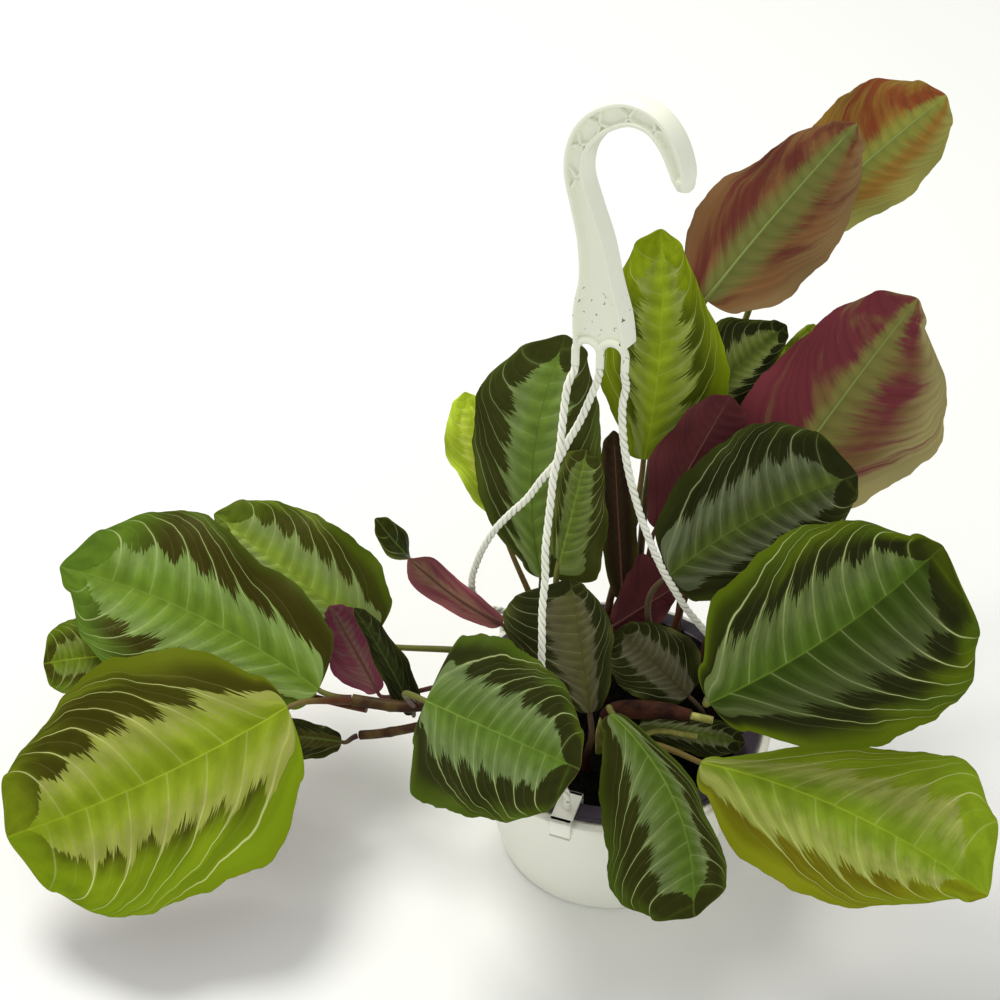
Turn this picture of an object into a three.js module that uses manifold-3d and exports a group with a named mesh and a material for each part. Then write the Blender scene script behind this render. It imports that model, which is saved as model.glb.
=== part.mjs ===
import * as THREE from "three";
import { mergeVertices } from "three/addons/utils/BufferGeometryUtils.js";
import Module from "manifold-3d";

// Potted prayer plant with a three-strand hanger. Millimetres, +Z up, the pot's base on z = 0.

const wasm = await Module();
wasm.setup();

// Driving dimensions

const RIM_RADIUS = 65;
const POT_HEIGHT = 78;
const BASE_RADIUS = 44;
const WALL = 1.8;
const LIP_WIDTH = 8;
const LIP_THICKNESS = 2.4;
const FLOOR_THICKNESS = 2.5;
const OUTER_RIM_RADIUS = 69;
const OUTER_RIM_THICKNESS = 3;
const OUTER_BASE_RADIUS = 49;
const DRAIN_HOLES = 4;
const DRAIN_RADIUS = 1.9;
const DRAIN_CIRCLE = 32;
const SOIL_TOP = POT_HEIGHT - 12;
const GAP = 0.3;
const ROOT_DEPTH = 9;
const BLADE_THICKNESS = 0.8;
const STALK_SIDES = 5;
const STRAND_DIAMETER = 3.2;
const STRAND_SIDES = 8;
const HOOK_YAW = 38;
const HOOK_THICKNESS = 8.5;
const HOOK_PLACE = [-11, 0, POT_HEIGHT];

const COLOURS = {
  pot: 0x25222b,
  soil: 0x3a2c22,
  hanger: 0xe9ede2,
  bright: 0x7f9e35,
  green: 0x4d7a33,
  dark: 0x3c4a2a,
  under: 0x74364a,
  orange: 0x8c5a33,
  stem: 0x6b4a35,
  sheath: 0x6e3f2b,
  cut: 0xcdbb7a,
};

const UP = new THREE.Vector3(0, 0, 1);

const point = (p) => new THREE.Vector3(p[0], p[1], p[2]);
const radians = (degrees) => (degrees * Math.PI) / 180;

// Solids from points and triangles, and back to three.js meshes

function solidOf(points, triangles) {
  const vertProperties = new Float32Array(points.length * 3);
  points.forEach((p, i) => vertProperties.set([p.x, p.y, p.z], i * 3));
  const triVerts = new Uint32Array(triangles.flat());
  return new wasm.Manifold(new wasm.Mesh({ numProp: 3, vertProperties, triVerts }));
}

function solidOfGeometry(geometry) {
  const bare = geometry.clone();
  bare.deleteAttribute("normal");
  bare.deleteAttribute("uv");
  const merged = mergeVertices(bare, 1e-4);
  return new wasm.Manifold(
    new wasm.Mesh({
      numProp: 3,
      vertProperties: new Float32Array(merged.attributes.position.array),
      triVerts: new Uint32Array(merged.index.array),
    }),
  );
}

function meshOf(name, solid, colour) {
  const raw = solid.getMesh();
  const geometry = new THREE.BufferGeometry();
  geometry.setAttribute("position", new THREE.BufferAttribute(new Float32Array(raw.vertProperties), 3));
  geometry.setIndex(new THREE.BufferAttribute(new Uint32Array(raw.triVerts), 1));
  geometry.computeVertexNormals();
  const mesh = new THREE.Mesh(geometry, new THREE.MeshStandardMaterial({ color: colour, roughness: 0.6 }));
  mesh.name = name;
  return mesh;
}

function boxSolid(size, centre) {
  const geometry = new THREE.BoxGeometry(...size);
  geometry.translate(...centre);
  return solidOfGeometry(geometry);
}

function turned(profile, segments) {
  const geometry = new THREE.LatheGeometry(
    profile.map(([r, z]) => new THREE.Vector2(r, z)),
    segments,
  );
  geometry.rotateX(Math.PI / 2);
  return solidOfGeometry(geometry);
}

// A tapering round limb: one ring of points at each place along its way, closed at both ends
function limb(path, radii, sides) {
  const points = [];
  const triangles = [];
  let side = null;
  path.forEach((place, i) => {
    const before = path[Math.max(i - 1, 0)];
    const after = path[Math.min(i + 1, path.length - 1)];
    const along = after.clone().sub(before).normalize();
    const guess = side ?? (Math.abs(along.x) < 0.9 ? new THREE.Vector3(1, 0, 0) : new THREE.Vector3(0, 1, 0));
    side = guess.clone().addScaledVector(along, -guess.dot(along)).normalize();
    const other = along.clone().cross(side);
    for (let k = 0; k < sides; k += 1) {
      const turn = (2 * Math.PI * k) / sides;
      const spoke = side.clone().multiplyScalar(Math.cos(turn)).addScaledVector(other, Math.sin(turn));
      points.push(place.clone().addScaledVector(spoke, radii[i]));
    }
  });
  const rings = path.length;
  for (let i = 0; i < rings - 1; i += 1) {
    for (let k = 0; k < sides; k += 1) {
      const a = i * sides + k;
      const b = i * sides + ((k + 1) % sides);
      triangles.push([a, b, b + sides], [a, b + sides, a + sides]);
    }
  }
  const last = (rings - 1) * sides;
  for (let k = 1; k < sides - 1; k += 1) {
    triangles.push([0, k + 1, k], [last, last + k, last + k + 1]);
  }
  return solidOf(points, triangles);
}

// Places along a smooth curve between two points, leaving and arriving in given directions
function bend(from, leave, to, arrive, steps) {
  const curve = new THREE.CubicBezierCurve3(from, from.clone().add(leave), to.clone().sub(arrive), to);
  return curve.getPoints(steps);
}

// Radii that fall evenly from the first to the last
function taper(first, last, count) {
  return Array.from({ length: count }, (_, i) => first + ((last - first) * i) / (count - 1));
}

// Nursery pot: a tapered cup with a wide flat lip, and small drain holes in its floor

const NURSERY_FOOT = FLOOR_THICKNESS + GAP;
const NURSERY_FLOOR = NURSERY_FOOT + FLOOR_THICKNESS;
const LIP_INSIDE = RIM_RADIUS - LIP_WIDTH;

function nurseryPotSolid() {
  const profile = [
    [0, NURSERY_FOOT],
    [BASE_RADIUS - 2, NURSERY_FOOT],
    [BASE_RADIUS, NURSERY_FOOT + 2],
    [LIP_INSIDE + WALL, POT_HEIGHT - LIP_THICKNESS],
    [RIM_RADIUS - 0.5, POT_HEIGHT - LIP_THICKNESS],
    [RIM_RADIUS, POT_HEIGHT - LIP_THICKNESS + 0.7],
    [RIM_RADIUS - 0.8, POT_HEIGHT],
    [LIP_INSIDE + 0.8, POT_HEIGHT],
    [LIP_INSIDE, POT_HEIGHT - 0.8],
    [BASE_RADIUS - WALL, NURSERY_FLOOR],
    [0, NURSERY_FLOOR],
  ];
  let pot = turned(profile, 36);
  for (let i = 0; i < DRAIN_HOLES; i += 1) {
    const hole = new THREE.CylinderGeometry(DRAIN_RADIUS, DRAIN_RADIUS, FLOOR_THICKNESS * 3, 8);
    const turn = (2 * Math.PI * (i + 0.5)) / DRAIN_HOLES;
    hole.rotateX(Math.PI / 2);
    hole.translate(DRAIN_CIRCLE * Math.cos(turn), DRAIN_CIRCLE * Math.sin(turn), NURSERY_FOOT + 1);
    pot = pot.subtract(solidOfGeometry(hole));
  }
  return pot;
}

// Hanging pot: the outer cup that the nursery pot's lip rests on and the clips hold
function hangingPotSolid() {
  const rimTop = POT_HEIGHT - LIP_THICKNESS - GAP;
  const rimFoot = rimTop - OUTER_RIM_THICKNESS;
  const profile = [
    [0, 0],
    [OUTER_BASE_RADIUS - 2, 0],
    [OUTER_BASE_RADIUS, 2],
    [OUTER_RIM_RADIUS - 5, rimFoot - 0.8],
    [OUTER_RIM_RADIUS - 0.6, rimFoot],
    [OUTER_RIM_RADIUS, rimFoot + 0.9],
    [OUTER_RIM_RADIUS - 0.8, rimTop],
    [OUTER_RIM_RADIUS - 6.6, rimTop],
    [OUTER_RIM_RADIUS - 7, rimTop - 0.6],
    [OUTER_BASE_RADIUS - WALL, FLOOR_THICKNESS],
    [0, FLOOR_THICKNESS],
  ];
  return turned(profile, 36);
}

// The radius of the nursery pot's inner wall at height z
function innerRadius(z) {
  const share = (z - NURSERY_FLOOR) / (POT_HEIGHT - 0.8 - NURSERY_FLOOR);
  return BASE_RADIUS - WALL + share * (LIP_INSIDE - (BASE_RADIUS - WALL));
}

// Soil: a plug that fits the pot, uneven on top, with a plain hole for each root
function soilSolid(roots) {
  const foot = NURSERY_FLOOR + GAP;
  const edge = SOIL_TOP - 2;
  const profile = [
    [0, foot],
    [innerRadius(foot) - GAP - 0.2, foot],
    [innerRadius(edge) - GAP - 0.3, edge],
    [46, SOIL_TOP - 1],
    [30, SOIL_TOP],
    [14, SOIL_TOP + 0.6],
    [0, SOIL_TOP + 0.4],
  ];
  let soil = turned(profile, 24).warp((v) => {
    const reach = Math.hypot(v[0], v[1]);
    if (v[2] > edge + 0.5 && reach > 1) {
      v[2] += 0.7 * Math.sin(v[0] * 0.31 + 1) * Math.cos(v[1] * 0.27);
    }
  });
  roots.forEach(({ x, y, radius, depth }) => {
    const wide = radius / Math.cos(Math.PI / 6) + GAP + 0.1;
    const hole = new THREE.CylinderGeometry(wide, wide, 20, 6);
    hole.rotateX(Math.PI / 2);
    hole.translate(x, y, SOIL_TOP + 1 - depth - GAP + 10);
    soil = soil.subtract(solidOfGeometry(hole));
  });
  return soil;
}

// Blades. right and left are half widths at these shares of the length, seen with the tip up.

const STATIONS = [0.06, 0.2, 0.4, 0.6, 0.8, 0.94];
const TIP_POINT = 0.022;

// Half width at share u of the length: a smooth curve through the stations, round at both ends
function halfWidth(widths, u) {
  const last = STATIONS.length - 1;
  if (u <= STATIONS[0]) {
    return widths[0] * Math.sqrt(Math.max(0, 1 - (1 - u / STATIONS[0]) ** 2));
  }
  if (u >= STATIONS[last]) {
    return widths[last] * Math.sqrt(Math.max(0, 1 - ((u - STATIONS[last]) / (1 - STATIONS[last])) ** 2));
  }
  const slope = (k) => {
    const a = Math.max(k - 1, 0);
    const b = Math.min(k + 1, last);
    return (widths[b] - widths[a]) / (STATIONS[b] - STATIONS[a]);
  };
  const i = STATIONS.findIndex((_, k) => u <= STATIONS[k + 1]);
  const span = STATIONS[i + 1] - STATIONS[i];
  const t = (u - STATIONS[i]) / span;
  const ease = t * t * (3 - 2 * t);
  const swell = span * (slope(i) * t * (1 - t) ** 2 - slope(i + 1) * t * t * (1 - t));
  return widths[i] * (1 - ease) + widths[i + 1] * ease + swell;
}

// The blade's frame: along the midrib, to the right, and up out of its upper side
function bladeFrame(leaf) {
  const base = point(leaf.base);
  const along = point(leaf.tip).sub(base);
  const length = along.length();
  along.normalize();
  const facing = point(leaf.facing);
  const up = facing.addScaledVector(along, -facing.dot(along)).normalize();
  const right = along.clone().cross(up);
  return { base, along, up, right, length };
}

// Which way the upper side looks at share u of the length: a curl turns it about the midrib
function bladeUp(leaf, frame, u) {
  const turn = radians(leaf.curl) * THREE.MathUtils.smoothstep(u, 0.5, 0.85);
  return frame.up.clone().multiplyScalar(Math.cos(turn)).addScaledVector(frame.right, -Math.sin(turn));
}

// A place on the blade's middle surface: u runs along the midrib, v from -1 at the left edge to 1
// at the right. The tip ends in a small point.
function bladePoint(leaf, frame, u, v) {
  const hump = 4 * u * (1 - u);
  const reach = Math.abs(v);
  const nearTip = Math.max(0, (u - STATIONS.at(-1)) / (1 - STATIONS.at(-1)));
  const peak = TIP_POINT * frame.length * nearTip ** 16;
  const width = halfWidth(v < 0 ? leaf.left : leaf.right, u);
  const phase = v < 0 ? 0.35 : 0;
  const swing = Math.sin(2 * Math.PI * (leaf.waves * u + phase));
  const wave = leaf.ripple * swing * reach ** 3 * Math.min(1, 1.5 * hump);
  const fold = leaf.fold * width * (reach - 0.5 * reach * reach);
  const lobe = v > 0 ? leaf.lobe * reach * (1 - u) ** 4 : 0;
  const out = bladeUp(leaf, frame, u);
  const side = frame.along.clone().cross(out);
  return frame.base
    .clone()
    .addScaledVector(frame.along, u * frame.length - lobe + peak)
    .addScaledVector(frame.right, leaf.sweep * hump)
    .addScaledVector(frame.up, leaf.arch * hump)
    .addScaledVector(side, v * width)
    .addScaledVector(out, fold + wave);
}

// A thin closed sheet over a grid of places, with the same triangles on both faces
function bladeSolid(leaf, frame) {
  const rows = leaf.small ? 7 : 10;
  const columns = leaf.small ? 4 : 6;
  const points = [];
  const triangles = [];
  const add = (u, v) => {
    const half = bladeUp(leaf, frame, u).multiplyScalar(BLADE_THICKNESS / 2);
    const place = bladePoint(leaf, frame, u, v);
    points.push(place.clone().add(half), place.clone().sub(half));
    return points.length - 2;
  };
  const foot = add(0, 0);
  const grid = [];
  for (let i = 1; i < rows; i += 1) {
    const u = 0.5 - 0.5 * Math.cos((Math.PI * i) / rows);
    const row = [];
    for (let j = 0; j <= columns; j += 1) {
      row.push(add(u, (2 * j) / columns - 1));
    }
    grid.push(row);
  }
  const end = add(1, 0);
  const face = (a, b, c) => triangles.push([a, b, c], [a + 1, c + 1, b + 1]);
  const wall = (a, b) => triangles.push([a, a + 1, b + 1], [a, b + 1, b]);
  for (let j = 0; j < columns; j += 1) {
    face(foot, grid[0][j + 1], grid[0][j]);
    face(end, grid[rows - 2][j], grid[rows - 2][j + 1]);
    for (let i = 0; i < rows - 2; i += 1) {
      face(grid[i][j], grid[i][j + 1], grid[i + 1][j + 1]);
      face(grid[i][j], grid[i + 1][j + 1], grid[i + 1][j]);
    }
  }
  const edge = [foot, ...grid.map((row) => row[columns]), end, ...grid.map((row) => row[0]).reverse()];
  edge.forEach((a, i) => wall(a, edge[(i + 1) % edge.length]));
  return solidOf(points, triangles);
}

// The leaf stalk runs from its root to the blade's foot and on as a low rib under the midrib
function stalkSolid(leaf, frame) {
  const { from, leave, arrive, inSoil, radius, steps } = leaf.stalk;
  const thin = leaf.small ? 0.9 : 1.2;
  const rib = (u) => bladePoint(leaf, frame, u, 0).addScaledVector(frame.up, -thin * (1 - 2 * u));
  const foot = rib(0).addScaledVector(frame.along, -1);
  const path = bend(point(from), point(leave), foot, frame.along.clone().multiplyScalar(arrive), steps);
  const radii = taper(radius, thin, path.length);
  if (inSoil) {
    path.unshift(point(from).addScaledVector(UP, -ROOT_DEPTH));
    radii.unshift(radius);
  }
  path.push(rib(0.12), rib(0.24));
  radii.push(thin * 0.8, thin * 0.5);
  return limb(path, radii, STALK_SIDES);
}

// A stalk that stands in the soil: where, how it leaves the soil, and how straight it meets the blade
const rooted = (x, y, leave, arrive, radius = 1.9) => ({
  from: [x, y, SOIL_TOP + 1],
  leave,
  arrive,
  inSoil: true,
  radius,
  steps: 5,
});

// A stalk that starts on a stem
const grown = (from, leave, arrive, radius = 1.6) => ({
  from,
  leave,
  arrive,
  inSoil: false,
  radius,
  steps: 5,
});

// Millimetres, except waves (how many along an edge), fold (a share of the width) and curl (degrees)
const PLAIN_BLADE = { arch: 4, sweep: 0, lobe: 0, waves: 2.6, ripple: 1.6, fold: 0.1, curl: 0, small: false };

const LEAVES = [
  {
    name: "leaf_left_front",
    base: [-140, -8, 86],
    tip: [-255, -51, 53],
    facing: [-0.05, -0.55, 0.83],
    right: [19, 42, 53, 52, 38, 26],
    left: [31, 52, 53, 53, 47, 30],
    arch: 5,
    sweep: -5,
    stalk: grown([-114, 1.8, 79.4], [-12, -3, 3], 8),
    look: "bright",
  },
  {
    name: "leaf_left_back",
    base: [-128, 8, 80],
    tip: [-243, 61, 103],
    facing: [-0.05, -0.53, 0.84],
    right: [25, 32, 34, 42, 36, 22],
    left: [14, 26, 34, 39, 30, 10],
    sweep: 6,
    stalk: grown([-113.6, 6, 76.8], [-6, 0, 0], 4),
    look: "green",
  },
  {
    name: "leaf_left_far",
    base: [-106, 39, 80],
    tip: [-177, 87, 111],
    facing: [0, -0.53, 0.85],
    right: [20, 28, 30, 28, 22, 14],
    left: [7, 13, 15, 13, 9, 5],
    stalk: rooted(-34, 16, [0, 0, 42], 12),
    look: "green",
  },
  {
    name: "leaf_left_small",
    base: [-212, 36, 73],
    tip: [-252, 33, 71],
    facing: [0, -0.53, 0.85],
    right: [10, 15, 18, 19, 17, 13],
    left: [7, 12, 16, 16, 15, 11],
    small: true,
    stalk: grown([-107, 3, 73], [-40, 14, -4], 20),
    look: "bright",
  },
  {
    name: "leaf_left_low",
    base: [-118, -6, 62],
    tip: [-156, -4, 64],
    facing: [0, -0.53, 0.85],
    right: [4, 6, 7, 8, 7, 5],
    left: [5, 8, 10, 11, 10, 7],
    small: true,
    stalk: grown([-111.3, -2.5, 62], [-3, -1, 0], 2, 1.3),
    look: "dark",
  },
  {
    name: "leaf_left_purple",
    base: [-103, 19, 67],
    tip: [-124, 42, 97],
    facing: [0, 0.75, -0.66],
    right: [5, 10, 14, 11, 7, 4],
    left: [4, 8, 11, 13, 12, 6],
    small: true,
    stalk: rooted(-38, 7, [0, 0, 44], 8, 1.5),
    look: "under",
  },
  {
    name: "leaf_left_roll",
    base: [-87, 6, 67],
    tip: [-112, 29, 108],
    facing: [0.37, -0.7, 0.61],
    right: [5, 7, 8, 7, 6, 4],
    left: [4, 6, 6, 5, 3, 2],
    fold: 0.5,
    small: true,
    stalk: grown([-87, 1, 77.6], [0, 3, -2.6], 1, 1.2),
    look: "dark",
  },
  {
    name: "leaf_front_left",
    base: [-79, -39, 122],
    tip: [-19, -78, 125],
    facing: [-0.36, -0.5, 0.79],
    right: [18, 37, 36, 34, 30, 21],
    left: [31, 34, 35, 32, 26, 15],
    arch: 5,
    stalk: grown([-86, -3, 82], [-2, -16, 22], 16),
    look: "green",
  },
  {
    name: "leaf_curly",
    base: [-48, 18, 110],
    tip: [-101, 40, 150],
    facing: [0, 0.6, -0.7],
    right: [4, 6, 7, 8, 7, 5],
    left: [4, 6, 7, 8, 7, 5],
    sweep: 4,
    curl: 165,
    ripple: 1,
    small: true,
    stalk: rooted(-28, 22, [0, 0, 16], 14, 1.6),
    look: "under",
  },
  {
    name: "leaf_centre_front",
    base: [-12, -38, 114],
    tip: [-20, 1, 151],
    facing: [0.08, -0.68, 0.73],
    right: [6, 10, 12, 14, 11, 6],
    left: [6, 16, 25, 29, 30, 24],
    arch: 3,
    stalk: rooted(-12, -26, [0, 0, 20], 14),
    look: "dark",
  },
  {
    name: "leaf_centre_tall",
    base: [-31, 29, 127],
    tip: [-22, 76, 219],
    facing: [-0.1, -0.89, 0.45],
    right: [9, 20, 27, 27, 21, 12],
    left: [7, 18, 23, 27, 27, 17],
    sweep: -8,
    stalk: rooted(-22, 26, [0, 0, 26], 22),
    look: "dark",
  },
  {
    name: "leaf_centre_behind",
    base: [-49, 59, 134],
    tip: [-64, 95, 175],
    facing: [0, -0.75, 0.66],
    right: [5, 8, 10, 11, 9, 5],
    left: [4, 9, 12, 15, 12, 7],
    small: true,
    stalk: rooted(-28, 38, [0, 0, 30], 22),
    look: "bright",
  },
  {
    name: "leaf_centre_low",
    base: [-24, 15, 150],
    tip: [-13, 45, 184],
    facing: [0.1, -0.78, 0.61],
    right: [17, 17, 16, 13, 10, 7],
    left: [4, 6, 8, 9, 9, 8],
    arch: 2,
    lobe: 8,
    stalk: rooted(-18, 6, [0, 0, 34], 20),
    look: "green",
  },
  {
    name: "leaf_top_middle",
    base: [14, 76, 154],
    tip: [19, 113, 247],
    facing: [0.08, -0.93, 0.37],
    right: [22, 32, 31, 24, 15, 9],
    left: [9, 17, 26, 24, 19, 12],
    arch: 2,
    sweep: 3,
    stalk: rooted(4, 46, [0, 12, 34], 22),
    look: "bright",
  },
  {
    name: "leaf_top_small",
    base: [38, 90, 177],
    tip: [75, 111, 200],
    facing: [0.1, -0.81, 0.57],
    right: [12, 16, 15, 12, 8, 5],
    left: [6, 11, 19, 21, 12, 6],
    small: true,
    arch: 2,
    stalk: rooted(20, 41, [8, 40, 58], 8),
    look: "dark",
  },
  {
    name: "leaf_top_right_front",
    base: [39, 106, 218],
    tip: [100, 141, 282],
    facing: [-0.1, 0.91, -0.41],
    right: [17, 26, 28, 22, 17, 9],
    left: [16, 27, 31, 29, 22, 11],
    stalk: rooted(12, 46, [2, 30, 50], 34),
    look: "under",
  },
  {
    name: "leaf_top_right_back",
    base: [80, 138, 234],
    tip: [142, 168, 280],
    facing: [-0.1, 0.89, -0.45],
    right: [11, 20, 27, 29, 25, 14],
    left: [11, 17, 22, 24, 21, 12],
    stalk: rooted(29, 37, [6, 40, 50], 34),
    look: "orange",
  },
  {
    name: "leaf_right_upper",
    base: [67, 61, 141],
    tip: [126, 94, 225],
    facing: [0, 0.93, -0.37],
    right: [18, 33, 34, 31, 25, 17],
    left: [21, 35, 46, 47, 34, 10],
    arch: 6,
    sweep: -1,
    stalk: rooted(40, 24, [0, 4, 30], 26),
    look: "under",
  },
  {
    name: "leaf_right_purple",
    base: [18, 44, 142],
    tip: [49, 77, 187],
    facing: [0, 0.79, -0.62],
    right: [6, 11, 17, 15, 13, 8],
    left: [7, 12, 15, 18, 17, 11],
    small: true,
    arch: 2,
    stalk: rooted(13, 37, [2, 4, 40], 6),
    look: "under",
  },
  {
    name: "leaf_right_middle",
    base: [23, 19, 138],
    tip: [99, 41, 174],
    facing: [-0.15, -0.68, 0.72],
    right: [16, 24, 27, 24, 20, 11],
    left: [21, 28, 33, 35, 33, 24],
    sweep: -4,
    stalk: rooted(26, 8, [0, 0, 30], 24),
    look: "dark",
  },
  {
    name: "leaf_right_big",
    base: [36, -42, 124],
    tip: [130, 3, 167],
    facing: [0.05, -0.72, 0.69],
    right: [17, 34, 46, 51, 49, 38],
    left: [16, 36, 43, 43, 32, 12],
    arch: 6,
    sweep: 4,
    stalk: rooted(44, 4, [0, 0, 24], 3),
    look: "green",
  },
  {
    name: "leaf_right_low",
    base: [34, -47, 94],
    tip: [146, -94, 68],
    facing: [0, -0.5, 0.87],
    right: [13, 31, 39, 36, 22, 8],
    left: [4, 13, 25, 34, 41, 30],
    sweep: -6,
    stalk: rooted(1, -36, [0, 3, 34], 20),
    look: "bright",
  },
  {
    name: "leaf_front_low",
    base: [-4, -48, 124],
    tip: [29, -101, 64],
    facing: [0, -0.75, 0.66],
    right: [8, 18, 29, 33, 33, 19],
    left: [4, 6, 10, 10, 14, 14],
    sweep: -10,
    stalk: rooted(5, -43, [0, 0, 34], 8),
    look: "green",
  },
  {
    name: "leaf_centre_grey",
    base: [31, -11, 96],
    tip: [2, 9.5, 115],
    facing: [0, -0.69, 0.73],
    right: [10, 16, 18, 16, 12, 7],
    left: [8, 13, 16, 17, 15, 10],
    small: true,
    arch: 2,
    stalk: rooted(40, -6, [0, 0, 12], 8, 1.6),
    look: "dark",
  },
  {
    name: "leaf_centre_purple",
    base: [0, 18, 109],
    tip: [28, 30, 122],
    facing: [0, 0.75, -0.66],
    right: [5, 9, 13, 17, 20, 14],
    left: [7, 9, 11, 9, 6, 3],
    small: true,
    arch: 1,
    stalk: rooted(-2, 14, [0, 0, 16], 12, 1.6),
    look: "under",
  },
  {
    name: "leaf_centre_shadow",
    base: [5, 38, 106],
    tip: [1, 85, 161],
    facing: [0, 0.75, -0.66],
    right: [5, 7, 8, 8, 7, 5],
    left: [5, 7, 8, 8, 7, 5],
    small: true,
    arch: 2,
    stalk: rooted(3, 27, [0, 0, 14], 14, 1.6),
    look: "under",
  },
  {
    name: "leaf_low_dark",
    base: [10, -19, 85],
    tip: [54, -25, 82],
    facing: [0, -0.46, 0.89],
    right: [5, 7, 8, 9, 8, 5],
    left: [4, 7, 8, 8, 7, 5],
    small: true,
    arch: 2,
    stalk: rooted(4, -17, [0, 0, 8], 6, 1.5),
    look: "dark",
  },
  {
    name: "leaf_right_sliver",
    base: [71, 99, 170],
    tip: [89, 120, 194],
    facing: [0, -0.75, 0.66],
    right: [5, 8, 10, 10, 8, 5],
    left: [4, 7, 9, 7, 5, 3],
    small: true,
    arch: 1,
    stalk: rooted(23, 31, [10, 18, 40], 24),
    look: "bright",
  },
  {
    name: "leaf_back_tall",
    base: [-22, 67, 109],
    tip: [-33, 103, 165],
    facing: [0.19, 0.83, 0.53],
    right: [10, 16, 20, 20, 17, 12],
    left: [10, 15, 19, 20, 18, 13],
    stalk: rooted(-14, 45, [0, 4, 16], 16),
    look: "green",
  },
  {
    name: "leaf_back_right",
    base: [52, 59, 110],
    tip: [96, 86, 138],
    facing: [0.3, 0.8, 0.5],
    right: [8, 13, 17, 17, 14, 9],
    left: [7, 12, 16, 16, 13, 8],
    stalk: rooted(46, 12, [2, 8, 14], 16),
    look: "green",
  },
  {
    name: "leaf_back_middle",
    base: [20, 100, 145],
    tip: [15, 132, 203],
    facing: [0.1, 0.86, 0.49],
    right: [9, 14, 16, 15, 13, 9],
    left: [10, 15, 18, 17, 14, 9],
    stalk: rooted(-2, 47, [0, 16, 30], 22),
    look: "green",
  },
];

// Creeping stems that leave the pot over its left rim

const STEMS = [
  {
    name: "stem_left_upper",
    path: [
      [-38, -2, SOIL_TOP - ROOT_DEPTH + 1],
      [-38, -2, SOIL_TOP + 3],
      [-44, -2, SOIL_TOP + 13],
      [-58, -2, POT_HEIGHT + 6],
      [-74, -2, POT_HEIGHT + 4],
      [-90, -1, POT_HEIGHT + 1],
      [-104, 2, POT_HEIGHT],
      [-113, 4, POT_HEIGHT],
    ],
    radii: [2.6, 2.6, 2.6, 2.6, 2.6, 2.6, 3, 3.2],
  },
  {
    name: "stem_left_lower",
    path: [
      [-40, -11, SOIL_TOP - ROOT_DEPTH + 1],
      [-40, -11, SOIL_TOP + 3],
      [-45, -11, SOIL_TOP + 12],
      [-58, -10, POT_HEIGHT + 4],
      [-74, -9, POT_HEIGHT],
      [-90, -7, 71],
      [-102, -4, 65],
      [-110, -2, 62],
    ],
    radii: [2.2, 2.2, 2.2, 2.2, 2.2, 2.2, 2.2, 2],
  },
];

const stemSolid = ({ path, radii }) => limb(path.map(point), radii, 7);

// Dry sheath with a cut stem standing in it, and a second cut stem beside it

const CUT_STEMS = [
  {
    name: "cut_stem_sheathed",
    path: [
      [-6, -16, SOIL_TOP - ROOT_DEPTH + 1],
      [-6, -16, SOIL_TOP + 16],
      [-3, -17, SOIL_TOP + 26],
      [8, -20, SOIL_TOP + 31],
      [22, -23, SOIL_TOP + 33],
      [40, -28, SOIL_TOP + 33],
    ],
    radius: 1.6,
  },
  {
    name: "cut_stem_bare",
    path: [
      [6, -26, SOIL_TOP - ROOT_DEPTH + 1],
      [6, -26, SOIL_TOP + 13],
      [10, -26, SOIL_TOP + 20],
      [17, -25, SOIL_TOP + 23],
      [34, -28, SOIL_TOP + 23],
    ],
    radius: 1.2,
  },
];

// The dry sheath is a tube around the first cut stem, open at both ends
const SHEATH_PATH = [
  [-4, -16.8, SOIL_TOP + 23],
  [-1, -17.4, SOIL_TOP + 27.4],
  [8, -20, SOIL_TOP + 31],
  [22, -23, SOIL_TOP + 33],
  [31, -25.5, SOIL_TOP + 33],
];
const SHEATH_RADII = [3.4, 4.3, 4.8, 4, 2.9];
const SHEATH_WALL = 0.8;

function sheathSolid() {
  const path = SHEATH_PATH.map(point);
  const first = path[0].clone().sub(path[1]).normalize();
  const last = path.at(-1).clone().sub(path.at(-2)).normalize();
  const bore = [path[0].clone().add(first), ...path, path.at(-1).clone().add(last)];
  const radii = SHEATH_RADII.map((radius) => radius - SHEATH_WALL);
  const inside = limb(bore, [radii[0], ...radii, radii.at(-1)], 8);
  return limb(path, SHEATH_RADII, 8).subtract(inside);
}

const cutStemSolid = ({ path, radius }) => limb(path.map(point), taper(radius, radius, path.length), 6);

// Hook: a plate that follows a centre line in its own plane, [across, height over the rim, width]

const HOOK_LINE = [
  [1.5, 197.5, 24.7],
  [0.4, 212, 22.3],
  [-0.9, 226, 15.5],
  [-3.8, 242, 12.2],
  [-8.2, 255, 10],
  [-12.1, 268, 8.8],
  [-11, 279, 8.8],
  [-6.5, 288, 9.5],
  [1, 295.5, 9.5],
  [10.5, 300.5, 9],
  [19.5, 300, 8.5],
  [26, 295, 8],
  [30.8, 286.5, 6.8],
  [33.4, 277.5, 4.2],
];
const HOOK_STEPS = 24;
const FLANGE = 1.7;
const POCKET_DEPTH = 2.2;
const FOOT_ARCH = 6;
const FOOT_TILT = 18;
const FOOT_CENTRE = [1.5, 193.5];
const FOOT_DEPTH = 2.4;
const BRACES = [9, 11.5, 14, 16.5, 19];
const BRACE_WIDTH = 1.2;

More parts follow.
